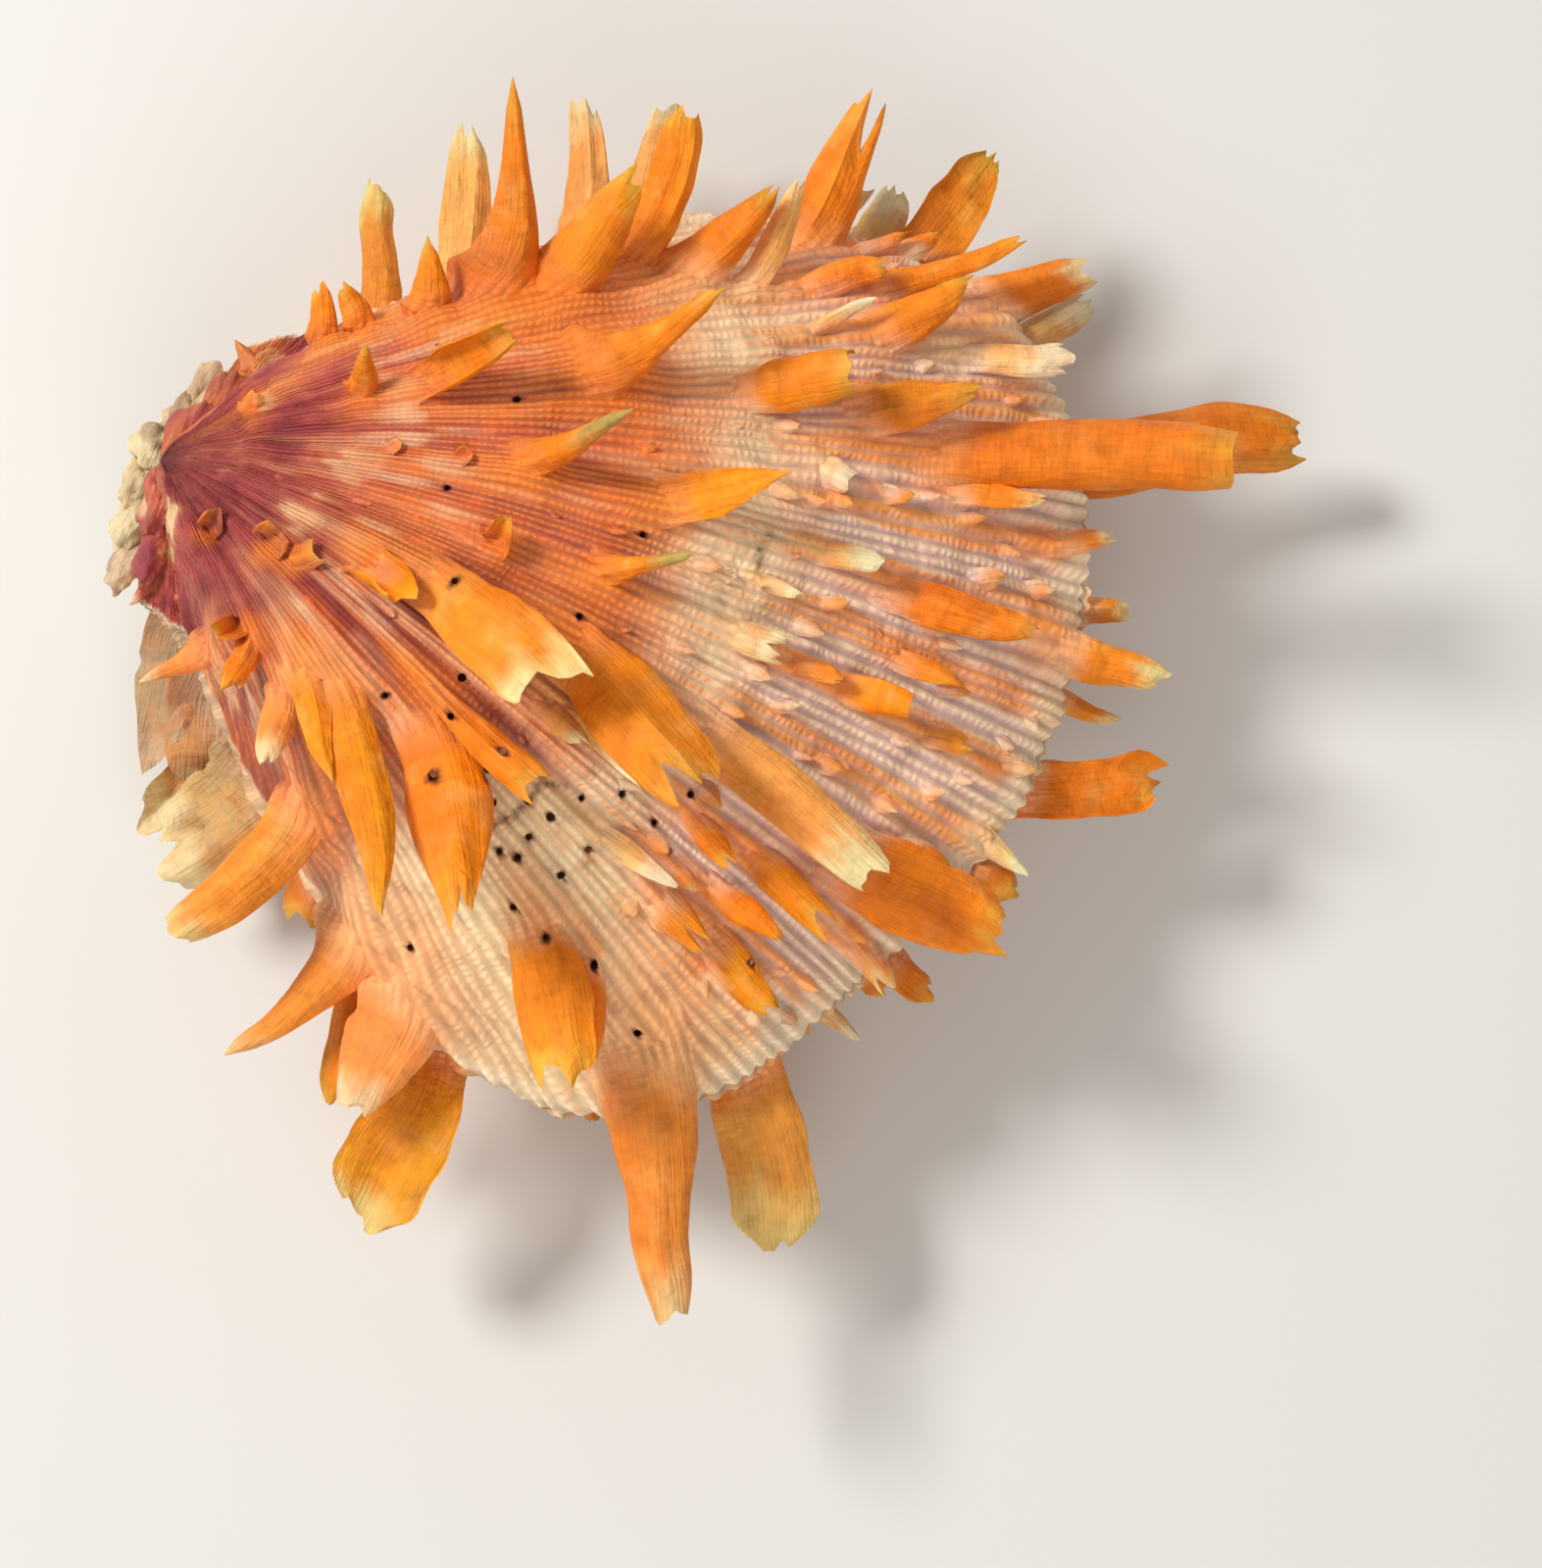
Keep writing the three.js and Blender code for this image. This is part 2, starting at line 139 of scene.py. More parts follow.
upperRibs = [  # main ribs: degrees from the midline, height and half width in degrees
    (52, 0.5, 2.2), (44, 0.9, 2.4), (38, 0.8, 2.0), (31, 0.9, 2.2), (27, 0.6, 1.6), (22, 1.0, 2.0),
    (17, 0.4, 1.3), (11.5, 1.0, 2.0), (6, 0.5, 1.4), (1, 0.8, 1.8), (-3.5, 0.4, 1.2), (-8.5, 1.1, 2.0),
    (-13.5, 0.7, 1.5), (-18, 0.5, 1.2), (-22, 0.9, 1.7), (-29, 1.1, 2.4), (-35, 1.0, 2.4),
    (-42, 1.0, 2.6), (-48, 0.8, 2.6), (-56, 0.5, 3.0),
]
upperSteps = [  # growth halts: share of growth and height of the step in mm
    (0.19, 0.12), (0.3, 0.12), (0.43, 0.16), (0.55, 0.14), (0.635, 0.34), (0.7, 0.3), (0.79, 0.12),
    (0.865, 0.18), (0.935, 0.24),
]
lowerRibs = [(a, 0.9, 2.4) for a in (56, 49, 43, 37, 30, 23, 16, 9, 2, -5, -12, -19, -26, -34, -41, -48)]
lowerSteps = [
    (0.2, 1.0), (0.3, 1.3), (0.4, 1.2), (0.5, 1.3), (0.58, 1.0), (0.66, 0.9), (0.74, 0.6), (0.82, 0.5),
    (0.9, 0.4), (0.95, 0.25),
]
ribletsPerDegree = 0.9


def ribletCount(angle, share):  # the running number of the riblet at a place, wandering a little
    wander = 0.3 * np.sin(angle * 0.83 + 1.3) + 0.22 * np.sin(angle * 0.37 + share * 5)
    return ribletsPerDegree * (angle + wander + 0.25 * waver(angle * 0.2, share * 7, 3) * share)


def ribletRidge(angle, share):  # 0 in a groove, 1 on a riblet
    return (0.5 + 0.5 * np.cos(2 * np.pi * ribletCount(angle, share))) ** 0.7


def relief(angle, share, ribs, steps, seed):  # height of the skin above the smooth form
    height = np.zeros_like(share)
    for rib, high, wide in ribs:
        height += high * bump(rib, wide, angle + 0.5 * waver(share * 6, rib, seed)) * (0.2 + share)
    far = share * reach(angle)
    height += (0.07 + 0.2 * share) * ribletRidge(angle, share) * step(0.03, 0.15, share)
    wrinkles = waver(angle * 0.45, far * 1.1, seed + 6) * waver(angle * 0.1, far * 0.1, seed + 7)
    height += 0.22 * wrinkles * step(30, 50, far)
    # the oldest shell near the umbo is knobbly
    x, y = far * np.cos(np.radians(angle)), far * np.sin(np.radians(angle))
    old = 1 - step(9, 24, far)
    knobbly = 0.7 * waver(x * 0.28, y * 0.28, seed + 8) + 0.45 * np.abs(waver(x * 0.7, y * 0.7, seed + 9))
    height += old * knobbly
    for k, (at, drop) in enumerate(steps):
        shifted = share + 0.006 * waver(angle * 0.16, k, seed) + 0.003 * waver(angle * 0.7, k, seed + 1)
        ahead = step(at - 0.07, at, shifted) * (shifted < at)
        ramp = np.where(shifted < at, ahead, 1 - step(at, at + 0.006, shifted))
        height += drop * ramp * (0.75 + 0.5 * waver(angle * 0.3, k + 9, seed))
    folds = np.maximum(0, np.cos((angle + 31 + 0.8 * waver(share * 4, 2, seed)) * 0.9)) ** 1.5
    height += 0.55 * folds * step(-17, -24, angle) * step(-58, -48, angle) * step(40, 60, far)
    height += 0.35 * waver(angle * 0.12, share * 5, seed + 2)
    height += 0.12 * waver(angle * 0.5, share * 16, seed + 3)
    height += 0.05 * waver(angle * 1.7, share * 60, seed + 4)
    return height


# pigment

def mottling(angle, share, seed):  # broad patches, fine patches, streaks along riblets, riblet crests
    far = share * reach(angle)
    patch = waver(angle * 0.13, far * 0.09, seed)
    fine = waver(angle * 0.6, far * 0.16, seed + 1)
    streak = waver(ribletCount(angle, share) * 0.5, far * 0.035, seed + 2)
    return far, patch, fine, streak, ribletRidge(angle, share)


def plumBeak(colour, angle, share, far, patch, fine, streak):  # the oldest part, worn white in places
    x, y = far * np.cos(np.radians(angle)), far * np.sin(np.radians(angle))
    lumps = waver(x * 0.22, y * 0.3, 24) + 0.5 * waver(x * 0.6, y * 0.8, 25)
    speckle = waver(ribletCount(angle, share), far * 0.45, 26)
    colour = blendColour(colour, "#E2742A", 0.5 * step(0.1, 0.7, speckle) * step(14, 26, far))
    old = 1 - step(12, 27, far + 4 * fine + 5 * patch)
    colour = blendColour(colour, "#A84C5A", 0.92 * old)
    colour = blendColour(colour, "#D58E78", 0.6 * old * step(0.15, 0.7, lumps))
    colour = blendColour(colour, "#7E3448", 0.6 * old * step(0.2, 0.8, -lumps))
    chalky = (1 - step(8, 34, far)) * step(0.62, 0.85, lumps + 0.3 * fine)
    colour = blendColour(colour, "#F0DCC0", 0.85 * chalky)
    worn = bump(27, 6, far + 4 * patch) * step(0.1, 0.5, fine + 0.4 * streak)
    return blendColour(colour, "#EFDACF", 0.6 * worn)


def youngShell(angle, shape, patch, fine, streak, crest):  # paler, orange riblets and lilac between
    group = step(-0.35, 0.35, np.sin(angle * 1.25 + 0.6 * patch) + 0.5 * streak)
    colour = np.broadcast_to(linear("#EBD9D3"), shape + (3,)).copy()
    colour = blendColour(colour, "#F0A258", 0.85 * group * (0.4 + 0.6 * crest))
    colour = blendColour(colour, "#B892BE", 0.62 * (1 - crest) * (1 - 0.5 * group))
    colour = blendColour(colour, "#E58A5E", 0.35 * step(0.0, 0.6, fine) * group)
    return np.minimum(colour * np.array([1.1, 1.14, 1.2]), 0.95)


def upperPigment(angle, share):
    far, patch, fine, streak, crest = mottling(angle, share, 21)
    colour = np.broadcast_to(linear("#E99463"), share.shape + (3,)).copy()
    colour = blendColour(colour, "#EFA04E", 0.55 * step(-0.2, 0.6, patch + 0.5 * streak))
    colour = blendColour(colour, "#F0C3AC", 0.5 * step(0.1, 0.7, fine))
    groove = (1 - crest) * step(0.2, 0.8, 0.5 + 0.5 * streak)
    colour = blendColour(colour, "#B0566A", 0.75 * groove * (1 - step(48, 62, far)))
    ribTop = sum(
        high * bump(rib, wide, angle + 0.5 * waver(share * 6, rib, 5)) for rib, high, wide in upperRibs
    )
    valley = 1 - step(0.15, 0.75, ribTop)
    colour = blendColour(colour, "#A8566A", 0.5 * valley * step(-0.3, 0.5, streak) * step(12, 24, far))
    # dark plum stripes run down the near shoulder
    nearEarly = step(4, -14, angle) * (1 - step(46, 58, far)) * step(-62, -45, angle)
    colour = blendColour(colour, "#A8584A", 0.75 * nearEarly * (1 - step(30, 44, far)))
    stripes = step(-0.35, 0.25, streak + 0.3 * patch + 0.4 * valley)
    colour = blendColour(colour, "#8A3F4C", 0.9 * nearEarly * stripes)
    colour = blendColour(colour, "#EBCDBE", 0.55 * nearEarly * step(0.15, 0.55, -streak))
    colour = plumBeak(colour, angle, share, far, patch, fine, streak)
    middle = step(12, 22, far) * (1 - step(46, 58, far))
    colour = colour * (1 - middle[..., None] * np.array([0.1, 0.24, 0.3]))
    # a pale band where growth halted, then paler shell with orange riblets and lilac between
    band = bump(61, 5.5, far + 0.12 * np.abs(angle) + 3 * patch)
    colour = blendColour(colour, "#F1E6DC", 0.85 * band)
    young = step(60, 67, far + 2 * patch)
    youngColour = youngShell(angle, share.shape, patch, fine, streak, crest)
    mix = (young * step(-30, -22, angle))[..., None]
    colour = colour * (1 - mix) + youngColour * mix
    farShoulder = step(26, 38, angle) * (1 - step(50, 60, far)) * step(-0.4, 0.4, patch)
    colour = blendColour(colour, "#E89A40", 0.35 * farShoulder)
    # the near side and the far corner are mostly white
    nearPale = step(-18, -28, angle + 3 * fine) * step(41, 53, far + 3 * patch)
    colour = blendColour(colour, "#F6EBD8", 0.92 * nearPale)
    colour = blendColour(colour, "#F0B48C", 0.5 * nearPale * step(0.2, 0.7, patch + 0.3 * fine))
    colour = blendColour(colour, "#DFCCBA", 0.3 * nearPale * (1 - crest))
    colour = blendColour(colour, "#B88A86", 0.22 * nearPale * valley * step(-0.2, 0.6, streak))
    colour = blendColour(colour, "#CE9A84", 0.45 * nearPale * step(-34, -43, angle + 2 * patch))
    farPale = step(26, 36, angle) * step(54, 62, far + 3 * patch)
    colour = blendColour(colour, "#F2E4D6", 0.7 * farPale * step(-0.4, 0.3, fine))
    edge = step(0.955, 0.985, share + 0.01 * fine)
    colour = blendColour(colour, "#F0E9E6", 0.8 * edge)
    # two old growth halts stand open as fine cracks, drawn as dark lines of painted shade
    for low, high, at, lean in ((-33, -19, 51.5, 0.12), (4, 13, 62.5, -0.3)):
        line = far - at - lean * (angle - low) + 1.1 * waver(angle * 0.5, 3, 28)
        crackShade = bump(0, 0.34, line) * step(low, low + 2, angle) * step(high, high - 2, angle)
        colour = blendColour(colour, "#5A4234", 0.85 * crackShade)
    return np.minimum(colour * np.array([1.06, 0.9, 0.62]), 0.95)


def noduleShare(angle, share):  # where the beads stand out orange on paler shell
    far = share * reach(angle)
    group = step(-0.5, 0.5, np.sin(angle * 1.25) + 0.5 * waver(angle * 0.3, far * 0.05, 27))
    bare = (1 - 0.6 * step(0.94, 0.98, share)) * step(-32, -22, angle)
    return step(36, 62, far) * (0.25 + 0.75 * group) * bare


def lowerPigment(angle, share):
    far, patch, fine, streak, crest = mottling(angle, share, 41)
    colour = np.broadcast_to(linear("#E7D6C4"), share.shape + (3,)).copy()
    colour = blendColour(colour, "#CDB9A6", 0.6 * step(0.0, 0.6, fine + 0.5 * patch))
    outer = step(0.52, 0.8, share + 0.08 * patch)
    colour = blendColour(colour, "#EFA66E", 0.8 * outer * step(-0.5, 0.4, streak + patch))
    colour = blendColour(colour, "#C9876F", 0.4 * outer * (1 - crest))
    colour = blendColour(colour, "#F0E2D6", 0.6 * outer * step(0.2, 0.7, fine))
    edge = step(0.955, 0.985, share + 0.01 * fine)
    return blendColour(colour, "#E6CDB2", 0.8 * edge) * np.array([1.04, 0.92, 0.7])


tints = {  # colour at the root, at mid length and at the tip, and where the tip's colour begins
    "orange": ("#E08443", "#F08A16", "#F3A437", 0.86),
    "amber": ("#D87A38", "#E88712", "#D69A30", 0.82),
    "olive": ("#E0803A", "#E78E18", "#AE9A52", 0.55),
    "gold": ("#E68B3F", "#F39408", "#F2A63C", 0.9),
    "salmon": ("#EFA881", "#F2A269", "#EBCFA4", 0.76),
    "peach": ("#F2BE9C", "#F4B582", "#EFD2A2", 0.8),
    "cream": ("#EFC49C", "#F0CFA0", "#EEDCB8", 0.6),
    "pale": ("#E08A52", "#F0A045", "#F0CB80", 0.72),
    "stub": ("#EC9A58", "#F29020", "#EDD29A", 0.78),
    "rust": ("#C2672C", "#D67A1F", "#DE9A3C", 0.85),
    # chalk and frill: grey and dark at the root and middle as painted shade of plates under the valve's
    # rim, pale at the tip in their own colour
    "frill": ("#BEA096", "#CFAE98", "#F0D3AA", 0.68),
    "chalk": ("#AC9A9E", "#BAA69E", "#E6C49E", 0.8),
    "yellow": ("#D8722A", "#F0A21C", "#EFD48E", 0.84), "sand": ("#E88A48", "#F2AE66", "#F0C680", 0.7),
    "plum": ("#B0625A", "#DE8446", "#E8924A", 0.7),
    "salmonOrange": ("#F0AC84", "#F19A45", "#EDC68A", 0.84),
}


def spinePigment(tint, across, along, seed):
    root, middle, tip, tipFrom = tints[tint]
    grain = waver(across * 5 + seed, along * 5, seed)
    blotch = waver(across * 1.6 + seed, along * 7, seed + 5)
    colour = np.broadcast_to(linear(root), along.shape + (3,)).copy()
    colour = blendColour(colour, middle, step(0.2, 0.5, along + 0.12 * blotch))
    colour = blendColour(colour, "#DE701F", 0.28 * step(0.25, 0.8, blotch) * (along > 0.1))
    colour = blendColour(colour, "#F6A648", 0.2 * step(0.2, 0.8, grain))
    colour = colour * np.array([1.04, 0.9, 0.55])
    return blendColour(colour, tip, 0.95 * step(tipFrom, min(tipFrom + 0.22, 1.02), along + 0.1 * grain))


# spines: rib, distance of the root from the hinge, lean, rise, length, widths at root, middle and
# tip, then the kind and the tint. The first eight are the CAD's own numbers.
upperSpines = [
    # far ear and shoulder
    (77, 13, 73, 0, 4, 3, 1.8, 0.4, "horn", "plum"), (52, 19, 65, 15, 5.5, 3.4, 2.8, 2, "blade", "orange"),
    (49, 23, 90, 18, 5, 3.6, 3, 1.8, "blade", "amber"),
    (44.5, 29.5, 70, 24, 8, 5, 3.6, 1.2, "blade", "amber"),
    (44, 38.5, 70, 26, 22, 9, 4, 0.6, "horn", "amber"),
    (43, 51, 53, 20, 16, 4.6, 4.6, 4.2, "blade", "gold"),
    (42, 42, 34, 26, 14.5, 8, 6.2, 3.6, "blade", "amber"),
    (41, 68, 52, 3, 15, 7.2, 6, 4, "ragged", "orange"),
    (39.5, 54.5, 29, 16, 13, 7, 5, 2.2, "blade", "amber"),
    (37, 61, 54, 14, 12.5, 3, 3, 1.6, "blade", "peach"),
    (37, 65, 0, 12, 9.5, 3, 3.6, 2.8, "blade", "orange"),
    (35.5, 72, 7, 8, 17, 4.4, 2.6, 1.6, "blade", "orange"),
    (34, 83, 10, -4, 12, 6.2, 4.8, 3.8, "tongue", "stub"),
    (39, 75, 14, 0, 6, 3, 2.8, 1.6, "blade", "orange"),
    (31, 71, 21, 14, 12, 6, 5, 2.4, "blade", "amber"),
    (30, 78.5, -10, 2, 13, 3.4, 3.4, 4, "ragged", "cream"),
    (31.5, 64, 18, 10, 9, 2, 1.6, 1, "horn", "cream"), (40, 71, 5, 4, 7, 2.4, 2, 1.2, "blade", "amber"),
    # far middle ribs
    (28, 21.5, 80, 60, 7.5, 3.6, 2.4, 0.6, "horn", "amber"),
    (28, 27.5, 15, 45, 13.5, 3.2, 4.2, 2.6, "cup", "amber"),
    (27.5, 44.5, 24, 36, 17, 8.5, 3.8, 1.4, "blade", "amber"),
    (25.5, 57.5, 4, 24, 12, 4, 5.6, 5.2, "tube", "amber"),
    (24, 68.5, 7, 18, 13, 6.6, 5.2, 2.4, "blade", "amber"),
    (22, 76.5, -2, 4, 30.5, 6, 7, 6.6, "tube", "orange"),
    (19, 77.5, -4, 8, 10.5, 3, 2.8, 1.4, "tongue", "stub"),
    (16.5, 88, 15, 0, 7, 3, 2.6, 1.6, "blade", "stub"),
    (19.5, 65, -30, 15, 4.5, 3, 3.4, 2.6, "tube", "cream"),
    (18, 70.5, -8, 12, 4.5, 1.6, 2.2, 1.2, "blade", "amber"),
    # middle ribs
    (13, 38.5, 29, 48, 15.5, 4.6, 2.4, 0.6, "horn", "olive"),
    (12, 51.5, 19, 32, 14, 4.8, 4.8, 0.8, "leaf", "gold"),
    (11.5, 65.5, -3, 18, 7.5, 2.4, 2.6, 2.2, "tongue", "cream"),
    (10, 73.5, -6, 12, 15.5, 3, 4.6, 3, "blade", "orange"),
    (10, 89, -4, 0, 13, 5.8, 4.6, 3.2, "blade", "stub"),
    (5.5, 75, -10, 12, 6.5, 2, 2.6, 2, "ragged", "orange"),
    (1.5, 47.5, 27, 40, 11.5, 4, 1.8, 1, "horn", "olive"),
    (1.5, 71, 1, 16, 8.5, 2.4, 3.6, 2.8, "tube", "gold"),
    (1, 79.5, 3, 10, 6, 2.2, 3, 2, "blade", "gold"), (-0.5, 37, 80, 60, 5, 3.6, 3, 2.2, "cup", "amber"),
    (-3, 89, -17, -3, 7, 3.8, 2.2, 0.6, "horn", "cream"),
    (1, 87, 12, 4, 5.5, 2.4, 2.8, 0.8, "blade", "orange"),
    (1, 66, 6, 18, 6, 1.6, 2.2, 1.8, "blade", "orange"),
    (2, 60, -6, 22, 5.5, 2.8, 3.6, 3.2, "ragged", "cream"),
    (7.5, 61, -12, 18, 5, 1.4, 1.8, 0.8, "tongue", "cream"),
    (7.5, 78.5, 2, 10, 3.5, 1.6, 1.6, 0.6, "blade", "stub"),
    # near middle ribs
    (-7, 48, -23, 22, 19, 5.6, 9.4, 7.2, "ragged", "gold"), (-7, 82, 3, 4, 6.5, 2, 4, 3, "blade", "orange"),
    (-7.5, 62, -13, 12, 23.5, 4.4, 6, 5, "tongue", "salmon"),
    (-9, 32.5, -16, 30, 20.5, 4.6, 8, 8.4, "ragged", "stub"),
    (-10, 78, 6, 4, 18, 7, 9, 7.8, "ragged", "orange"),
    (-12.5, 26, -17, 40, 9, 3.8, 3.8, 3.6, "cup", "gold"),
    (-13.5, 71, -11, 10, 11, 2.4, 3.6, 2.8, "ragged", "gold"),
    (-13.5, 83.5, -22, 0, 6, 2.4, 3.2, 2, "ragged", "stub"),
    (-14.5, 64.5, -13, 14, 7, 2, 2.8, 2.2, "blade", "orange"),
    (-18, 70, 3, 8, 10, 2.2, 3.2, 1, "blade", "orange"),
    (-21, 73, -5, 5, 10, 3.8, 4.6, 2.4, "blade", "gold"),
    (-21.5, 59, 8, 14, 10.5, 2, 2.6, 0.8, "leaf", "cream"),
    (-21.5, 66.5, -5, 12, 7, 2.8, 4.2, 2.2, "ragged", "gold"),
    (-23, 37.5, 0, 14, 17, 2, 3.2, 4.2, "tongue", "orange"),
    (-13.5, 49.5, -14, 20, 12, 1.6, 2.2, 0.8, "tongue", "cream"),
    (-15.5, 47, -4, 15, 7, 2.6, 3, 1.8, "blade", "salmon"),
    (-22, 78.5, -12, 2, 4.5, 2.6, 2.6, 2, "blade", "gold"),
    (-23, 73.5, -22, 6, 4.5, 2, 1.8, 0.6, "blade", "amber"),
    # near side, shoulder and ear
    (-25, 42.5, -37, 24, 22, 5.6, 8.6, 3.2, "ragged", "gold"),
    (-28.5, 66, -34, 8, 11.5, 2, 3, 1.2, "blade", "orange"),
    (-29, 75.5, -34, -4, 29, 12, 8.2, 4.4, "tongue", "salmonOrange"),
    (-30.5, 61, -26, 14, 18, 4.8, 7.6, 6.6, "ragged", "orange"),
    (-33, 34.5, -26, 30, 28, 4.4, 5.2, 1.4, "leaf", "gold"),
    (-36.5, 29.5, -18, 30, 15, 3.8, 3.6, 1, "leaf", "gold"),
    (-41, 30, -41, 20, 9, 3.6, 4.2, 2, "blade", "salmon"),
    (-43, 24.5, -56, 25, 7, 3, 2.8, 2.6, "ragged", "amber"),
    (-44, 60, -56, -2, 13, 10, 9, 4.4, "tongue", "salmon"),
    (-46, 42, -75, 6, 18.5, 5.8, 6.2, 4.4, "tongue", "salmonOrange"),
    (-46.5, 54, -77, -2, 18.5, 8, 4.2, 1.2, "horn", "salmonOrange"),
    (-56, 21.5, -81, 8, 8.5, 4.4, 2.2, 0.6, "horn", "salmon"),
    (-44, 22.5, -88, 35, 3.5, 2.4, 2.8, 2.6, "cup", "amber"),
    (-85, 12.5, -27, -4, 3, 1.6, 1.2, 0.4, "horn", "plum"),
    # curled cups near the umbo and small scales at the margin
    (33, 10, 65, 50, 3, 3.4, 2.6, 1.4, "blade", "amber"),
    (13, 24, 34, 50, 2, 1.4, 1.6, 1.6, "cup", "amber"),
    (12, 31, 47, 50, 2.5, 1.6, 1.8, 2, "cup", "amber"),
    (6.5, 58, 33, 40, 1.5, 1.4, 1.6, 1.6, "cup", "olive"),
    (6, 85.5, -24, 4, 2.5, 1.6, 1.6, 0.8, "blade", "orange"),
    (5, 89, -18, 2, 2.5, 1.6, 1.8, 1, "blade", "stub"),
    (3, 87, -11, 4, 2.5, 1.4, 1.6, 0.8, "blade", "orange"),
    (-23.5, 20.5, 56, 50, 4, 3, 3.2, 2.8, "ragged", "gold"),
    (-26, 17.5, 93, 50, 3, 3.4, 3.8, 3.6, "cup", "gold"),
    (-41, 12, 121, 45, 3, 2.2, 2.6, 2.6, "cup", "amber"),
    (-77, 12.5, 62, 20, 2.5, 1.6, 2, 1.6, "blade", "gold"),
]
lowerSpines = [
    # round the margin, from the far ear to the near ear
    (60, 26, 58, -6, 17, 5.6, 4.2, 3.4, "blade", "pale"),
    (56.5, 35, 57, -6, 19, 4.8, 5.8, 3.4, "leaf", "peach"),
    (52, 48.5, 66, -8, 17, 5.4, 4.8, 3, "ragged", "peach"),
    (49.5, 52.5, 51, -8, 17.5, 6.6, 6, 5.2, "ragged", "peach"),
    (43.5, 63, 26, -6, 12, 6, 6.6, 6, "ragged", "salmon"),
    (40.5, 73, 49, -10, 9, 6, 5.2, 3.4, "blade", "cream"),
    (38, 77, 41, -8, 16.5, 5.6, 6.6, 4.2, "spoon", "amber"),
    (31, 86, 26, -8, 9, 3, 3.6, 3.8, "blade", "cream"),
    (23.5, 86.5, 5, -12, 29.5, 7, 7.6, 7.2, "blade", "orange"),
    (13, 91, 11, -10, 7, 3, 2.8, 2.2, "blade", "stub"),
    (7.5, 90.5, -5, -12, 8, 2.8, 2.4, 1.4, "blade", "stub"),
    (0, 90, 30, -14, 16.5, 5.6, 6.2, 6.6, "spoon", "orange"),
    (-5, 89, -4, -8, 6, 6, 5.6, 3.4, "blade", "amber"),
    (-8.5, 88, -9, -8, 8.5, 3.4, 2.2, 0.6, "horn", "amber"),
    (-13, 85.5, -4, -10, 7.5, 4, 4, 3.2, "blade", "amber"),
    (-18.5, 84, 0, -6, 6.5, 2.6, 2, 0.8, "horn", "cream"),
    (-23.5, 82.5, -38, -14, 21, 7, 9.6, 8.4, "leaf", "sand"),
    (-42.5, 66, -57, -16, 20.5, 5, 9.2, 10.8, "spoon", "yellow"),
    (-47, 54.5, -38, -14, 15, 4, 5.2, 4, "blade", "amber"),
    (-47.5, 42.5, -50, -10, 6, 5.2, 5.6, 4.8, "blade", "rust"),
    (-14, 84, -14, -12, 5.5, 3.6, 3.6, 3, "blade", "orange"),
    (-20.5, 82, -11, -12, 4, 4.2, 4.2, 3.6, "ragged", "orange"),
    (-35, 74.5, -15, -12, 4.5, 3.4, 2.8, 1.6, "blade", "amber"),
    # lower flanks
    (57, 24, 40, -14, 7, 4, 4, 2.5, "blade", "peach"), (50, 43, 45, -16, 9, 4, 4.5, 3, "blade", "salmon"),
    (43, 58, 30, -14, 10, 4.5, 5, 3, "leaf", "peach"), (36, 68, 15, -14, 11, 5, 5, 3.5, "blade", "salmon"),
    (28, 74, 10, -14, 9, 4, 4.5, 3, "spoon", "pale"), (19, 77, 5, -14, 12, 5, 5.5, 4, "leaf", "salmon"),
    (9, 78, 0, -14, 8, 4, 4, 2.5, "blade", "pale"), (-3, 77, 5, -14, 10, 5, 5, 3.5, "spoon", "peach"),
    (-12, 74, -5, -14, 9, 4, 4.5, 3, "blade", "salmon"), (-19, 72, -8, -14, 12, 5, 6, 4, "leaf", "pale"),
    (-27, 70, -12, -14, 9, 4.5, 5, 3, "blade", "salmon"),
    (-34, 65, -20, -14, 12, 5, 5.5, 4, "spoon", "peach"),
    (-40, 59, -30, -14, 8, 4, 4, 3, "blade", "salmon"),
    # pale leaves beside the near ear, where the valve spread over the rock; their tints go grey and dark
    # toward the root as painted shade under the valve's rim
    (-53, 25, -8, -8, 13, 13, 14, 9, "plate", "chalk"),
    (-57, 22, -12, -18, 12, 12, 13, 8, "plate", "chalk"),
    (-62, 16, -20, -26, 13, 10, 12, 8, "plate", "chalk"),
    (-52, 28.5, -72, -6, 14, 8, 10, 7, "plate", "frill"),
    (-53, 33, -76, -16, 13, 9, 11, 9, "plate", "frill"),
]
kinds = {  # curl: half angle of the section's arc, edges down; thick: share of the root's width
    "blade": {"curl": 60, "thick": 0.26, "ragged": 0.09, "round": 0.45, "roll": 16, "ruffle": 0.03},
    "horn": {"curl": 75, "thick": 0.34, "ragged": 0.0, "round": 0.8, "roll": 22, "ruffle": 0.0},
    "tongue": {"curl": 52, "thick": 0.26, "ragged": 0.08, "round": 0.2, "roll": 8, "ruffle": 0.03},
    "ragged": {"curl": 46, "thick": 0.22, "ragged": 0.26, "round": 0.12, "roll": 10, "ruffle": 0.06},
    "leaf": {"curl": 36, "thick": 0.2, "ragged": 0.08, "round": 0.6, "roll": 14, "ruffle": 0.04},
    "spoon": {"curl": -48, "thick": 0.18, "ragged": 0.12, "round": 0.5, "roll": 8, "ruffle": 0.05},
    "tube": {"curl": 112, "thick": 0.17, "ragged": 0.08, "round": 0.05, "roll": 6, "ruffle": 0.0},
    "cup": {"curl": -110, "thick": 0.18, "ragged": 0.14, "round": 0.2, "roll": 20, "ruffle": 0.04},
    "plate": {"curl": 12, "thick": 0.07, "ragged": 0.3, "round": 0.1, "roll": 6, "ruffle": 0.16},
    "scale": {"curl": 50, "thick": 0.26, "ragged": 0.1, "round": 0.6, "roll": 16, "ruffle": 0.0},
}


# blanks: one straight spine at three levels of detail, copied and bent for each row

def deselectAll():
    for o in bpy.context.selected_objects:
        o.select_set(False)


def pick(o):
    deselectAll()
    o.select_set(True)
    bpy.context.view_layer.objects.active = o


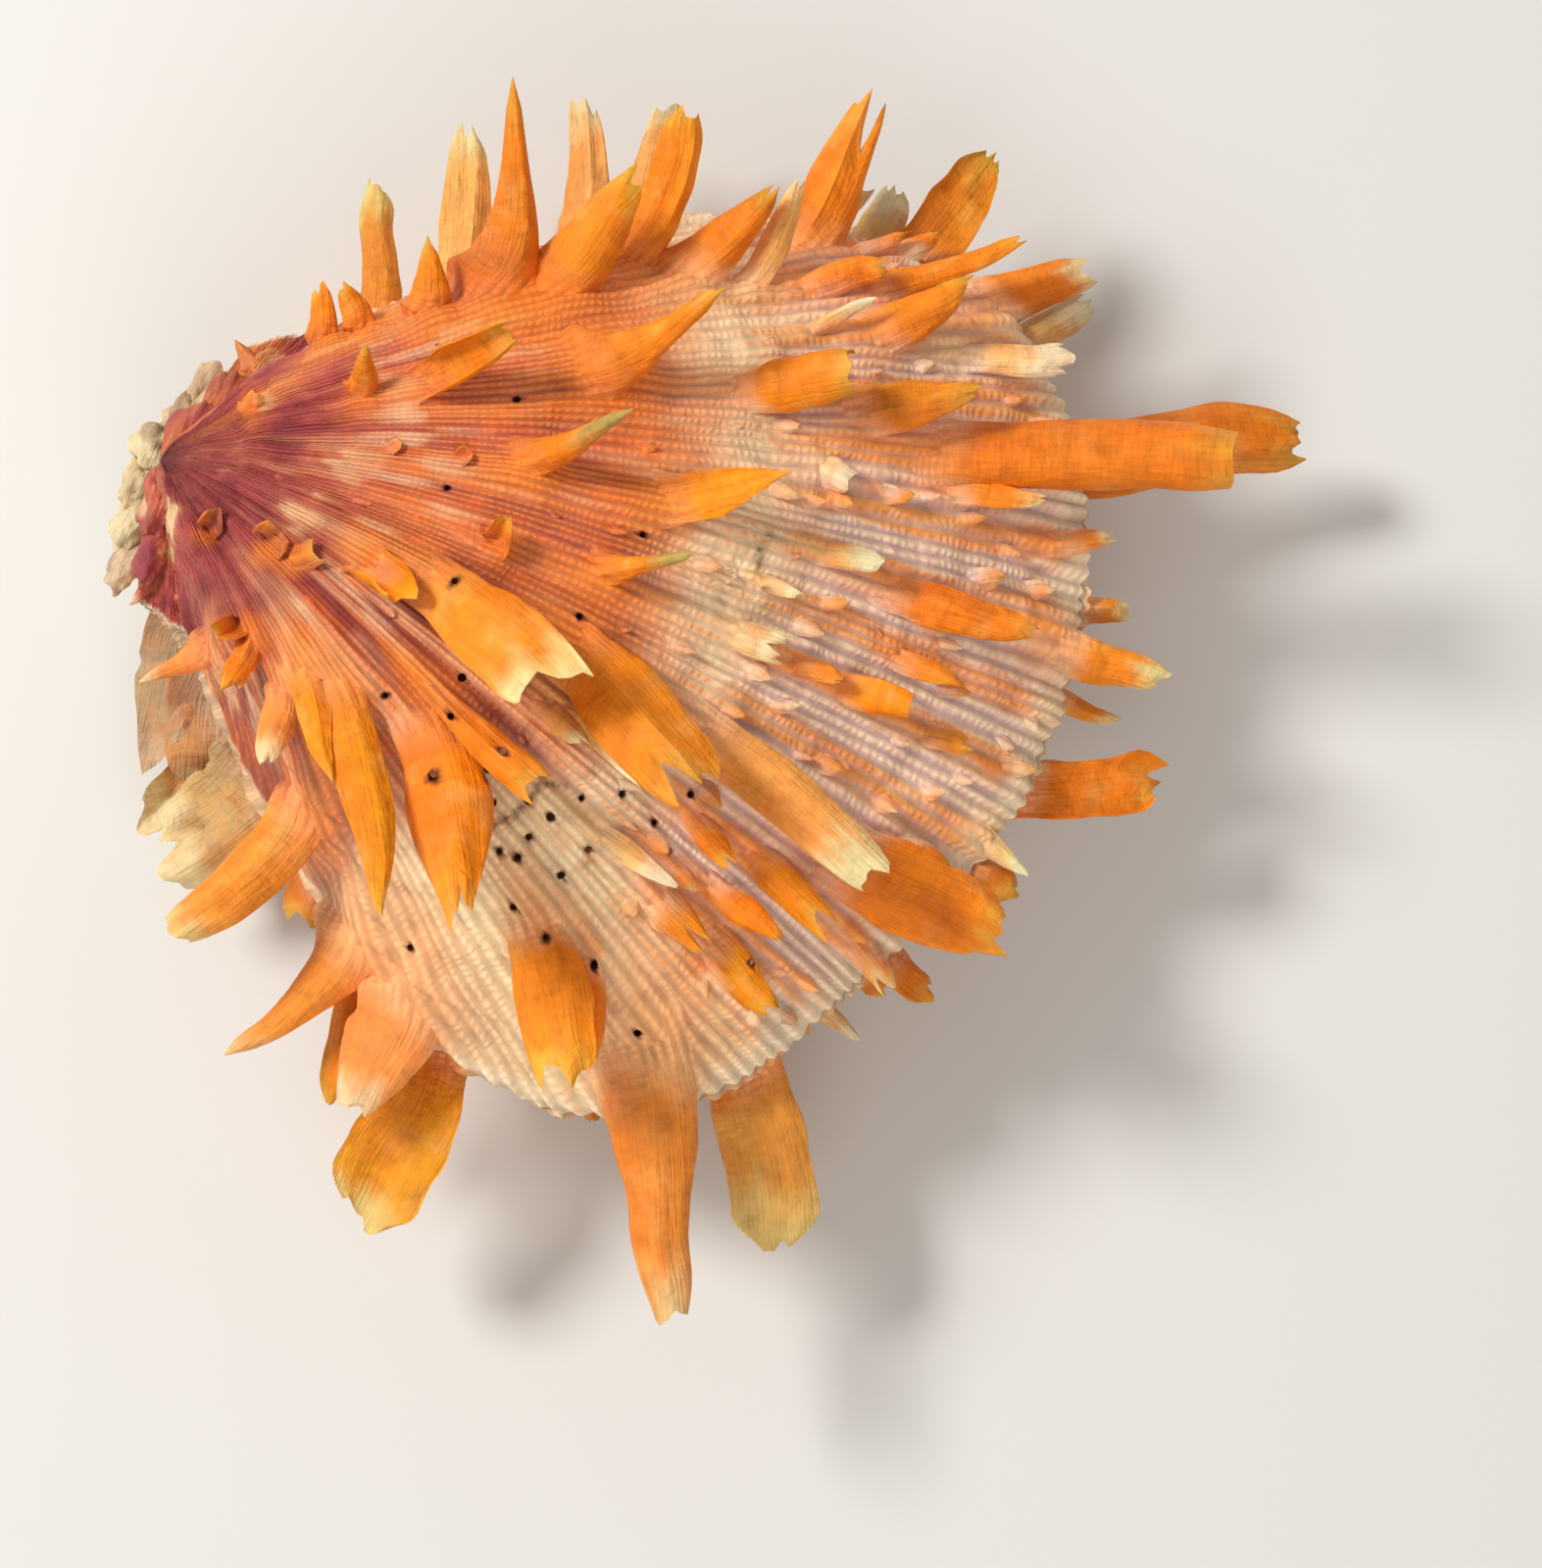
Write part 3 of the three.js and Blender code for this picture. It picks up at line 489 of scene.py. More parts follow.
def readPoints(o):
    co = np.zeros(len(o.data.vertices) * 3)
    o.data.vertices.foreach_get("co", co)
    return co.reshape(-1, 3)


def makeBlank(name, sides, stations):  # a straight rod of length 1, cut into stations
    deselectAll()
    bpy.ops.mesh.primitive_cylinder_add(vertices=sides, radius=1, depth=1, location=(0, 0, 0.5))
    blank = bpy.context.object
    blank.name = name
    bpy.ops.object.transform_apply(location=True, rotation=True, scale=True)
    bpy.ops.object.mode_set(mode="EDIT")
    # the round ends are split across while the blank is squashed flat, so they bend cleanly later
    bpy.ops.mesh.select_all(action="SELECT")
    bpy.ops.transform.resize(value=(1, 0.02, 1), center_override=(0, 0, 0))
    bpy.ops.mesh.select_mode(type="FACE")
    bpy.ops.mesh.select_all(action="DESELECT")
    bpy.ops.mesh.select_face_by_sides(number=sides, type="EQUAL")
    bpy.ops.mesh.quads_convert_to_tris(quad_method="BEAUTY", ngon_method="BEAUTY")
    bpy.ops.mesh.select_all(action="SELECT")
    bpy.ops.transform.resize(value=(1, 50, 1), center_override=(0, 0, 0))
    for k in range(1, stations):
        bpy.ops.mesh.select_all(action="SELECT")
        bpy.ops.mesh.bisect(plane_co=(0, 0, k / stations), plane_no=(0, 0, 1))
    bpy.ops.object.mode_set(mode="OBJECT")
    blank.hide_render = True
    return blank


def paint(mesh, pigment, mapU, mapV, thorn, nodule=0.0):  # colour, masks and the growth UV map
    layer = mesh.attributes.new("pigment", "FLOAT_COLOR", "POINT")
    layer.data.foreach_set("color", np.column_stack([pigment, np.ones(len(pigment))]).ravel())
    mask = mesh.attributes.new("thorn", "FLOAT", "POINT")
    mask.data.foreach_set("value", np.full(len(pigment), float(thorn)))
    beads = mesh.attributes.new("nodule", "FLOAT", "POINT")
    beads.data.foreach_set("value", np.zeros(len(pigment)) + nodule)
    corners = np.zeros(len(mesh.loops), int)
    mesh.loops.foreach_get("vertex_index", corners)
    uv = mesh.uv_layers.new(name="growth")
    uv.data.foreach_set("uv", np.column_stack([mapU[corners], mapV[corners]]).ravel())


def toMetres(points):  # from the shell's own millimetres to the scene
    return (points + shellPlace) * mm


def spinePath(form, row, run):  # from inside the rib, out at the root, to the tip
    rib, start, lean, rise, length = row[:5]
    share = min(start / float(reach(rib)), 0.985)
    root = facePoint(form, rib, share)
    normal = faceNormal(form, rib, share)
    back = facePoint(form, rib, max(share - run / float(reach(rib)), 0.02)) - 0.5 * normal
    heading, level = math.radians(rib + lean), math.cos(math.radians(rise))
    forward = np.array([math.cos(heading) * level, math.sin(heading) * level, math.sin(math.radians(rise))])
    side = np.array([-math.sin(heading), math.cos(heading), 0])
    over = unit(np.cross(forward, side))
    over = over * form["up"]
    tip = root + forward * length
    return back, root, tip, normal, over


def spineCourse(form, row, kind, across, along, rng, seed):  # middle line, its side and its top
    length = row[4]
    run = min(max(0.38 * length, 1.2), 9.0)
    back, root, tip, normal, over = spinePath(form, row, run)
    rootAt = run / (length + run)
    # the far end is ragged: each strip across the blade stops at its own length
    lobes = waver(across * 2.1 + seed, seed, seed) * 0.7 + waver(across * 5.3 + seed, 3.3, seed) * 0.4
    t = along * (1 + kind["ragged"] * min(1, 9 / length) * lobes * along ** 4)
    t = t[:, None]
    bow = over * length * 0.05 * rng.uniform(0.2, 1.7) * (1 if form["up"] > 0 else 0.4)
    middle = root + 0.45 * (tip - root) + bow
    low = root - 0.25 * normal
    path = (1 - t) ** 3 * back + 3 * t * (1 - t) ** 2 * low + 3 * t * t * (1 - t) * middle + t ** 3 * tip
    ahead = 3 * (1 - t) ** 2 * (low - back) + 6 * t * (1 - t) * (middle - low) + 3 * t * t * (tip - middle)
    forward = unit(ahead)
    upward = normal * (1 - step(0, 0.6, t)) + over * step(0, 0.6, t)
    side = unit(np.cross(upward, forward))
    upward = np.cross(forward, side)
    sway = 0.035 * length * waver(along * 2.2, seed * 0.37, seed + 3) * step(rootAt * 0.6, 0.9, along)
    sway = sway * (1 - step(0.8, 1, along))
    path = path + side * sway[:, None]
    roll = math.radians(kind["roll"]) * rng.uniform(-1, 1) * step(0.2, 1, t)
    side, upward = side * np.cos(roll) + upward * np.sin(roll), upward * np.cos(roll) - side * np.sin(roll)
    return path, side, upward, rootAt, length + run


def spineSizes(widths, kind, across, along, rootAt, seed):  # the root spreads into the rib
    late = rootAt + (1 - rootAt) * 0.5
    early = rootAt + (1 - rootAt) * 0.2
    profile = [
        (0, 0.7 * widths[0]), (rootAt * 0.8, 1.3 * widths[0]), (early, 0.6 * widths[0] + 0.45 * widths[1]),
        (late, widths[1]), (1, widths[2]),
    ]
    width = smoothThrough(profile, along)
    close = np.clip((along - 0.9) / 0.1, 0, 1)
    width = width * (1 - kind["round"] * close ** 2)
    edge = 0.09 * waver(along * 4, np.sign(across) * 3 + seed, seed + 2)
    edge = edge + 0.05 * waver(along * 11, np.sign(across) * 3 + seed, seed + 4)
    width = width * (1 + edge * step(0.15, 0.5, along))
    thickest = min(max(kind["thick"] * widths[0], 0.7), 2.5)
    thick = thickest * (1 - 0.66 * step(rootAt, 1, along)) * (0.12 + 0.88 * step(0, rootAt * 1.2, along))
    thick = np.minimum(np.maximum(thick, 0.34), np.maximum(0.7 * width, 0.22)) * (1 - 0.85 * close ** 2)
    return width, thick, close


def spineCurl(up, kind, across, overs, along, rootAt, width, thick, seed):  # the section's channel
    curl = math.radians(kind["curl"]) * (0.25 + 0.75 * step(rootAt * 0.7, rootAt + 0.35, along))
    curl = curl * (1 + 0.18 * waver(along * 3, 1, seed)) * up
    bendRadius = width / 2 / np.sin(np.minimum(np.abs(curl), np.pi / 2))
    turn = across * curl
    sideways = bendRadius * np.sin(np.abs(turn)) * np.sign(across)
    lift = np.sign(curl) * bendRadius * (np.cos(turn) - 1) * 0.85
    lift = lift - np.sign(curl) * 0.35 * bendRadius * (np.cos(curl) - 1) * 0.85
    frill = waver(across * 1.7 + seed, along * 3.5, seed + 6) * step(0.3, 1, along) * 2
    lift = lift + kind["ruffle"] * width * frill
    return sideways + np.sin(turn) * np.sign(curl) * overs * thick / 2 * 0.5, lift


def spineSkin(across, along, lines, total, width, close, keelAt, seed):  # ridges, growth edges, a keel
    size = np.minimum(width / 4, 1.3)
    ridges = (0.1 * np.cos(across * 9 + seed) + 0.07 * np.cos(across * 17 + 2 * seed)) * size
    lamellae = 0.17 * (lines - np.floor(lines)) ** 2 * np.minimum(size, 1)
    rough = 0.08 * waver(along * total / 1.3, across * 1.4, seed + 7)
    rough = rough + 0.14 * waver(along * total / 4, across, seed + 8)
    keel = 0.34 * size * bump(keelAt, 0.3, across + 0.2 * waver(along * 2, 5, seed)) * step(0.2, 0.5, along)
    return (ridges + lamellae + rough * size + keel) * (1 - 0.5 * close) * step(0.02, 0.2, along)


def spineTone(tint, across, overs, along, lines, rootAt, total, keelAt, rng, seed):  # its pigment, with painted shade on the inner face and at the foot of each growth edge
    tone = spinePigment(tint, across, np.clip((along - rootAt * 0.6) / (1 - rootAt * 0.6), 0, 1), seed)
    bands = waver(across * 1.3 + seed, along * total / 2.4, seed + 11)
    bands = bands + 0.4 * waver(across * 4, along * total, seed + 12)
    tone = blendColour(tone, "#F6AE5C", 0.35 * step(0.35, 0.9, bands) * step(0.15, 0.4, along))
    deeper = step(0, 0.25, (across - keelAt) * (1 if seed % 2 else -1)) * (along < 0.85)
    tone = blendColour(tone, "#DF6A10", 0.3 * deeper * step(0.15, 0.4, along))
    tone = tone * rng.uniform(0.9, 1.1) * np.array([1, rng.uniform(0.92, 1.1), 0.88])
    # painted shade: the face turned back toward the valve is darker, and so is a thin band at the foot of
    # each growth edge
    paintedShade = 1 - 0.14 * (overs < 0) - 0.1 * (lines - np.floor(lines) < 0.12)
    return tone * paintedShade[:, None]


def bendSpine(blank, form, row, name, seed):  # one spine, from a copy of the blank
    *_, kindName, tint = row
    kind, up = kinds[kindName], form["up"]
    rng = np.random.default_rng(seed)
    across, overs, along = readPoints(blank).T
    path, side, upward, rootAt, total = spineCourse(form, row, kind, across, along, rng, seed)
    width, thick, close = spineSizes(row[5:8], kind, across, along, rootAt, seed)
    sideways, lift = spineCurl(up, kind, across, overs, along, rootAt, width, thick, seed)
    lines = along * total / 3.6 + 0.35 * across ** 2 + seed * 0.3
    lines = lines + 0.4 * waver(across * 2, along * 4, seed + 9)
    keelAt = rng.uniform(-0.45, 0.45)
    skin = spineSkin(across, along, lines, total, width, close, keelAt, seed)
    outward = overs * (thick / 2) + up * skin * (overs * up > 0)
    points = path + side * sideways[:, None] + upward * (lift + outward)[:, None]
    mesh = blank.data.copy()
    mesh.vertices.foreach_set("co", toMetres(points).ravel())
    mesh.update()
    tone = spineTone(tint, across, overs, along, lines, rootAt, total, keelAt, rng, seed)
    paint(mesh, tone, (across * width / 2.2 + seed) / 100, along * total / 100, 1)
    spine = bpy.data.objects.new(name, mesh)
    bpy.context.scene.collection.objects.link(spine)
    return spine


def spineSet(form, rows, label, blanks, seed):
    made = []
    for k, row in enumerate(rows):
        blank = blanks[0] if row[4] > 11 or row[5] > 6 else blanks[1] if row[4] > 4.2 else blanks[2]
        made.append(bendSpine(blank, form, row, f"{label}{k}", seed + k))
    return made


def scatterScales(form, ribs, rows, seed, bands):  # little scales that crowd the ribs between spines
    rng = np.random.default_rng(seed)
    out = []
    for rib, high, _ in ribs:
        for low, top, pitch, tintNames in bands:
            far = low + rng.uniform(0, pitch)
            while far < min(top, float(reach(rib)) * 0.97):
                angle = rib + rng.uniform(-1.8, 1.8)
                crowded = any(
                    abs(r[0] - angle) * far / 57 < 2.6 and -2 < far - r[1] < 0.5 * r[4] for r in rows
                )
                if not crowded:
                    size = rng.uniform(1.0, 2.4) if far < 55 else rng.uniform(1.6, 4.2)
                    lean, rise = rng.uniform(-22, 22), rng.uniform(4, 26) * form["up"]
                    tint = tintNames[rng.integers(len(tintNames))]
                    broad = rng.uniform(0.4, 0.7) * size
                    out.append((angle, far, lean, rise, size, broad, broad, 0.6 * broad, "scale", tint))
                far += pitch * rng.uniform(0.6, 1.5)
    return out


# valve skins: a grid wrapped from the umbo over the outer face, round the margin and into the hollow

valveSettings = {
    "fanColumns": 560, "hingeColumns": 20, "outerRows": 170, "mostTriangles": 196000,
    "innerRings": (0.985, 0.9, 0.87, 0.74, 0.56, 0.36, 0.18, 0),
}


def wrapColumns():  # the direction and margin point of each column of the grid
    count = valveSettings["fanColumns"]
    # columns stand closer where the riblets show, and wider down at the ears
    even = np.linspace(-1, 1, count)
    angles = 90 * (0.62 * even + 0.38 * even ** 5)
    angles[0], angles[-1] = -90, 90
    x, y = reach(angles) * np.cos(np.radians(angles)), reach(angles) * np.sin(np.radians(angles))
    hinge = valveSettings["hingeColumns"]
    down = np.linspace(float(reach(90)), -float(reach(90)), hinge + 2)[1:]
    angles = np.concatenate([angles, np.full(hinge + 1, 90.0)])
    return angles, np.concatenate([x, np.zeros(hinge + 1)]), np.concatenate([y, down])


def rootMounds(angle, far, rows):  # how much each place belongs to the foot of a spine
    height = np.zeros(angle.shape)
    tone = np.zeros(angle.shape + (3,))
    strength = np.zeros(angle.shape)
    for row in rows:
        rib, start, lean, _, length, rootWidth = row[:6]
        if length < 3:
            continue
        side = (angle - rib) * math.pi / 180 * np.maximum(far, 5)
        along = far - start
        near = (np.abs(side) < 2.5 * rootWidth) & (along > -length) & (along < rootWidth + 2)
        s, a = side[near], along[near]
        upstream = min(0.55 * length, 11)
        drift = math.tan(math.radians(max(-50, min(50, lean)))) * np.minimum(a, 0) * 0.25
        wide = 0.52 * rootWidth * (0.75 + 0.25 * step(-upstream, 0, a))
        shape = bump(0, 1, (s - drift) / wide) * step(-upstream, 0.5, a)
        shape = shape * (1 - step(0.1 * rootWidth, 0.8 * rootWidth, a))
        height[near] = np.maximum(height[near], shape * min(0.16 * rootWidth + 0.03 * length, 1.7))
        mark = 0.68 * shape ** 0.8
        rootTint, middleTint = tints[row[9]][:2]
        tintRoot = 0.5 * (linear(rootTint) + linear(middleTint)) * np.array([1.15, 0.98, 0.62])
        tone[near] = tone[near] * (1 - mark[:, None]) + tintRoot * mark[:, None]
        strength[near] = strength[near] * (1 - mark) + mark
    return height, tone, strength


def closeHinge(values):  # carries values along the hinge line from the far ear to the near ear
    last = valveSettings["fanColumns"] - 1
    count = values.shape[1] - 1 - last
    for k in range(1, count + 1):
        values[:, last + k] = values[:, last] * (1 - k / count) + values[:, 0] * (k / count)


def valveFace(form, ribs, steps, spines, angle, share, marginX, marginY, seed):  # the outer face
    up, rows, columns = form["up"], *angle.shape
    fanColumns = valveSettings["fanColumns"]
    margins = [np.broadcast_to(margin, angle.shape) for margin in (marginX, marginY)]
    plan = facePoint(form, angle, share, *margins)
    along, across = np.gradient(plan, axis=0), np.gradient(plan, axis=1)
    normal = np.cross(along, across)
    normal = unit(normal) * up * np.sign(np.median(normal[rows // 2, columns // 3: columns // 2, 2]))
    mounds, moundTone, moundShare = rootMounds(angle, share * reach(angle), spines)
    height = relief(angle, share, ribs, steps, seed) + mounds
    closeHinge(height)
    onFan = np.zeros(columns)
    onFan[:fanColumns] = np.sin(np.linspace(0, np.pi, fanColumns)) ** 0.2
    fade = step(0.0, 0.12, share) * (0.35 + 0.65 * onFan) * (1 - 0.75 * step(0.985, 1, share))
    outer = plan + normal * (height * fade)[..., None]
    # the margin is finely toothed by the riblets
    uneven = 0.5 * ribletRidge(angle, share) + 0.5 * waver(angle * 0.5, 2, seed) - 0.2
    teeth = step(0.9, 1, share) * onFan * uneven
    outward = unit(np.stack([marginX - hollow["centre"], marginY, 0 * marginX], -1))[None]
    outer = outer + outward * teeth[..., None]
    seamWave = 0.3 * np.sin(angle * 0.9) * onFan
    outer[..., 2] = outer[..., 2] + up * 0.15 + seamWave * step(0.93, 1, share)
    if up < 0:  # worn nearly flat where it was cemented
        chalk = 0.25 + 0.25 * waver(plan[..., 0] * 0.25, plan[..., 1] * 0.25, 77)
        trace = chalk * step(0, 1.5, outer[..., 2] * -1 + scarLevel)
        outer[..., 2] = np.maximum(outer[..., 2], scarLevel + trace * 0.8)
    return outer, moundTone, moundShare


def valveHollow(marginRing, marginX, marginY, up, depth):  # rings from the margin in to the middle
    rings = []
    for scale in valveSettings["innerRings"]:
        ring = marginRing.copy()
        ring[:, 0] = hollow["centre"] + (marginX - hollow["centre"]) * scale
        ring[:, 1] = marginY * scale
        deep = max(0.0, 1 - (scale / hollow["plan"]) ** 2)
        ring[:, 2] = marginRing[:, 2] * (scale > 0.8) + up * depth * deep + up * 0.15 * (scale <= 0.8)
        rings.append(ring[None])
    return rings


def makeValve(name, form, ribs, steps, spines, pigmentOf, depth, seed):
    rows, inner = valveSettings["outerRows"], len(valveSettings["innerRings"])
    angles, marginX, marginY = wrapColumns()
    columns = len(angles)
    deselectAll()
    bpy.ops.mesh.primitive_grid_add(x_subdivisions=columns - 1, y_subdivisions=rows + inner - 1, size=1)
    valve = bpy.context.object
    valve.name = name
    share, angle = np.meshgrid(np.linspace(0, 1, rows) ** 0.8, angles, indexing="ij")
    outer, moundTone, moundShare = valveFace(
        form, ribs, steps, spines, angle, share, marginX, marginY, seed,
    )
    points = np.concatenate([outer] + valveHollow(outer[-1], marginX, marginY, form["up"], depth))
    points[:, -1] = points[:, 0]
    valve.data.vertices.foreach_set("co", toMetres(points.reshape(-1, 3)).ravel())
    pigment = pigmentOf(angle, share) * (1 - moundShare[..., None]) + moundTone
    closeHinge(pigment)
    inside = np.broadcast_to(linear("#E9D6BC"), (inner, columns, 3))
    pigment = np.concatenate([pigment, inside]).reshape(-1, 3)
    allShare = np.concatenate([share, np.ones((inner, columns))])
    allAngle = np.concatenate([angle, np.broadcast_to(angles, (inner, columns))])
    count = ribletCount(allAngle, allShare).ravel() / 100
    allFar = (allShare * reach(allAngle)).ravel() / 100
    nodule = noduleShare(allAngle, allShare).ravel() * (form["up"] > 0)
    paint(valve.data, pigment, count, allFar, 0, nodule)
    bpy.ops.object.mode_set(mode="EDIT")
    bpy.ops.mesh.select_all(action="SELECT")
    bpy.ops.mesh.remove_doubles(threshold=0.000002)
    bpy.ops.mesh.normals_make_consistent(inside=False)
    bpy.ops.object.mode_set(mode="OBJECT")
    return valve


def joinAll(others):
    pick(others[0])
    for o in others:
        o.select_set(True)
    bpy.ops.object.join()
    return others[0]


def applyModifier(o, modifier):
    pick(o)
    bpy.ops.object.modifier_apply(modifier=modifier.name)


def carve(valve, tool, operation):  # joins the tool to the valve or cuts it out, then drops the tool
    cut = valve.modifiers.new("carve", "BOOLEAN")
    cut.operation, cut.solver, cut.object = operation, "MANIFOLD", tool
    applyModifier(valve, cut)
    bpy.data.objects.remove(tool)


def remember(valve):  # the bare skin's pigment, to be found again by place
    co = readPoints(valve)
    tree = KDTree(len(co))
    for k, point in enumerate(co):
        tree.insert(point, k)
    tree.balance()
    colours = np.zeros(len(co) * 4)
    valve.data.attributes["pigment"].data.foreach_get("color", colours)
    nodules = np.zeros(len(co))
    valve.data.attributes["nodule"].data.foreach_get("value", nodules)
    return tree, colours.reshape(-1, 4), nodules


holeSettings = {"radius": 0.37, "below": 1.7, "above": 7.0, "sides": 10}
holes = [  # boring-sponge holes: rib and distance from the hinge
    (-8.5, 35), (-19, 40.5), (-23.5, 42), (-34.5, 39.5), (-29, 44.5), (-31.5, 47), (-25, 48), (-27, 50.5),
    (-29, 47), (-32.5, 51), (-29.5, 54), (-31.5, 58.5), (-26.5, 55), (-30.5, 62), (-23.5, 55), (-4, 46.5),
    (8, 49.5), (-10, 55), (-26.5, 59.5), (-24, 52.5), (-23, 59.5), (-17, 62.5), (-13, 63.5), (-17, 58.5),
    (-20, 56), (-40.5, 43), (-41.5, 56), (-28.5, 55.5), (-29, 67), (-29.5, 74), (24, 36), (7, 30.5),
    (-20, 76.5), (-18, 65), (-28.5, 36.5), (-36, 52), (-22, 47),
]


def drill(valve, form):
    rng = np.random.default_rng(8)
    cutters, drilled = [], []
    for rib, far in holes:
        share = far / float(reach(rib))
        base, normal = facePoint(form, rib, share), faceNormal(form, rib, share)
        start = toMetres(base - holeSettings["below"] * normal)
        end = toMetres(base + holeSettings["above"] * normal)
        radius = holeSettings["radius"] * rng.uniform(0.7, 1.25) * mm
        deselectAll()
        bpy.ops.mesh.primitive_cylinder_add(
            vertices=holeSettings["sides"], radius=radius, depth=float(np.linalg.norm(end - start)),
            location=Vector((start + end) / 2), rotation=Vector(normal).to_track_quat("Z", "Y").to_euler(),
        )
        cutters.append(bpy.context.object)
        drilled.append((start, end))
    group = joinAll(cutters)
    pick(group)
    bpy.ops.object.transform_apply(location=True, rotation=True, scale=True)
    carve(valve, group, "DIFFERENCE")
    return drilled


pitSettings = {"front": 5.4, "back": -7.6, "halfFront": 2.3, "halfBack": 1.45, "depth": 4}


def cutPit(valve):  # the ligament's pit in the hinge, open behind
    deselectAll()
    bpy.ops.mesh.primitive_cube_add(size=2, location=(0, 0, 0))
    block = bpy.context.object
    front, back = pitSettings["front"], pitSettings["back"]
    for v in block.data.vertices:
        half = pitSettings["halfFront"] if v.co.x > 0 else pitSettings["halfBack"]
        corner = np.array([front if v.co.x > 0 else back, v.co.y * half, v.co.z * pitSettings["depth"]])
        v.co = Vector(toMetres(corner))
    carve(valve, block, "DIFFERENCE")


def lump(name, centre, radius, colour, seed):  # a worn knob of old shell
    deselectAll()
    bpy.ops.mesh.primitive_ico_sphere_add(subdivisions=4, radius=1, location=(0, 0, 0))
    knob = bpy.context.object
    knob.name = name
    co = readPoints(knob)
    swell = 1 + 0.3 * waver(co[:, 0] * 1.6 + seed, co[:, 1] * 1.6 + co[:, 2], seed)
    swell += 0.16 * waver(co[:, 0] * 4 + seed, co[:, 1] * 4 + co[:, 2] * 3, seed + 1)
    points = co * np.array(radius) * swell[:, None] + np.array(centre)
    knob.data.vertices.foreach_set("co", toMetres(points).ravel())
    patch = waver(co[:, 0] * 2 + seed, co[:, 1] * 2 + co[:, 2] * 2, seed + 2)
    tone = np.broadcast_to(linear(colour), co.shape).copy()
    tone = blendColour(tone, "#8E6A54", 0.6 * step(0.1, 0.8, patch))
    paint(knob.data, tone, co[:, 0] * 0.03, co[:, 1] * 0.03, 1)
    return knob


def settleColours(valve, skin, drilled):  # the roots take up the colour of the shell they grow from
    tree, skinColours, skinNodules = skin
    count = len(valve.data.vertices)
    co, colours, thorn = readPoints(valve), np.zeros(count * 4), np.zeros(count)
    valve.data.attributes["pigment"].data.foreach_get("color", colours)
    valve.data.attributes["thorn"].data.foreach_get("value", thorn)
    colours = colours.reshape(-1, 4)
    nearest, gap = np.zeros(count, int), np.zeros(count)
    for k, point in enumerate(co):
        _, nearest[k], gap[k] = tree.find(point)
    own = np.where(thorn > 0.5, step(0.05, 2.4, gap / mm), 0)[:, None]
    own[colours[:, :3].min(axis=1) > 0.97] = 0  # cut corners carry no pigment of their own
    colours = skinColours[nearest] * (1 - own) + colours * own
    nodule = skinNodules[nearest] * (1 - own[:, 0])
    # the walls of each drilled hole are painted dark brown: painted shade inside the holes
    for start, end in drilled:
        depth = np.linalg.norm(end - start)
        axis = (end - start) / depth
        offset = co - start
        deep = offset @ axis
        off = np.linalg.norm(offset - deep[:, None] * axis, axis=1)
        inside = (off < holeSettings["radius"] * 1.2 * mm) & (deep > 0) & (deep < depth)
        colours[inside, :3] = linear("#4A1A10")
        nodule[inside] = 0
    valve.data.attributes["nodule"].data.foreach_set("value", nodule)
    valve.data.attributes["pigment"].data.foreach_set("color", colours.ravel())
    thorn = np.where(thorn > 0.5, step(0.0, 1.5, gap / mm), 0.0)
    valve.data.attributes["thorn"].data.foreach_set("value", thorn)


def restOnFloor(valve):  # nothing grows below the patch the valve was cemented by
    for v in valve.data.vertices:
        v.co.z = max(v.co.z, 0)


def triangles(o):
    return sum(len(p.vertices) - 2 for p in o.data.polygons)


def thin(valve):  # collapses faces where the skin is smoothest
    count = triangles(valve)
    if count > valveSettings["mostTriangles"]:
        cut = valve.modifiers.new("thin", "DECIMATE")
        cut.ratio = valveSettings["mostTriangles"] / count
        applyModifier(valve, cut)


# materials

def addNode(tree, kind, sockets=None, **settings):  # sockets take a value or another node's output
    node = tree.nodes.new(kind)
    for key, value in settings.items():
        setattr(node, key, value)
    for socket, source in (sockets or {}).items():
        if isinstance(source, bpy.types.NodeSocket):
            tree.links.new(source, node.inputs[socket])
        else:
            node.inputs[socket].default_value = source
    return node.outputs


def startMaterial(name):
    material = bpy.data.materials.new(name)
    material.use_nodes = True
    material.node_tree.nodes.clear()
    return material, material.node_tree


# Calcite shell, grown in layers and never polished: matt and chalky with a faint satin, and a little
# light sinks in, so thin edges look warm. Riblets carry beads, which stand out orange on pale shell.
shellSettings = {
    "beadTurn": 7.6,  # radians for each millimetre of growth: beads 0.83 mm apart
    "beadColour": "#E8862C", "rise": 0.001, "ior": 1.55, "glint": 0.22, "sunk": 0.08, "sunkScale": 0.002,
}


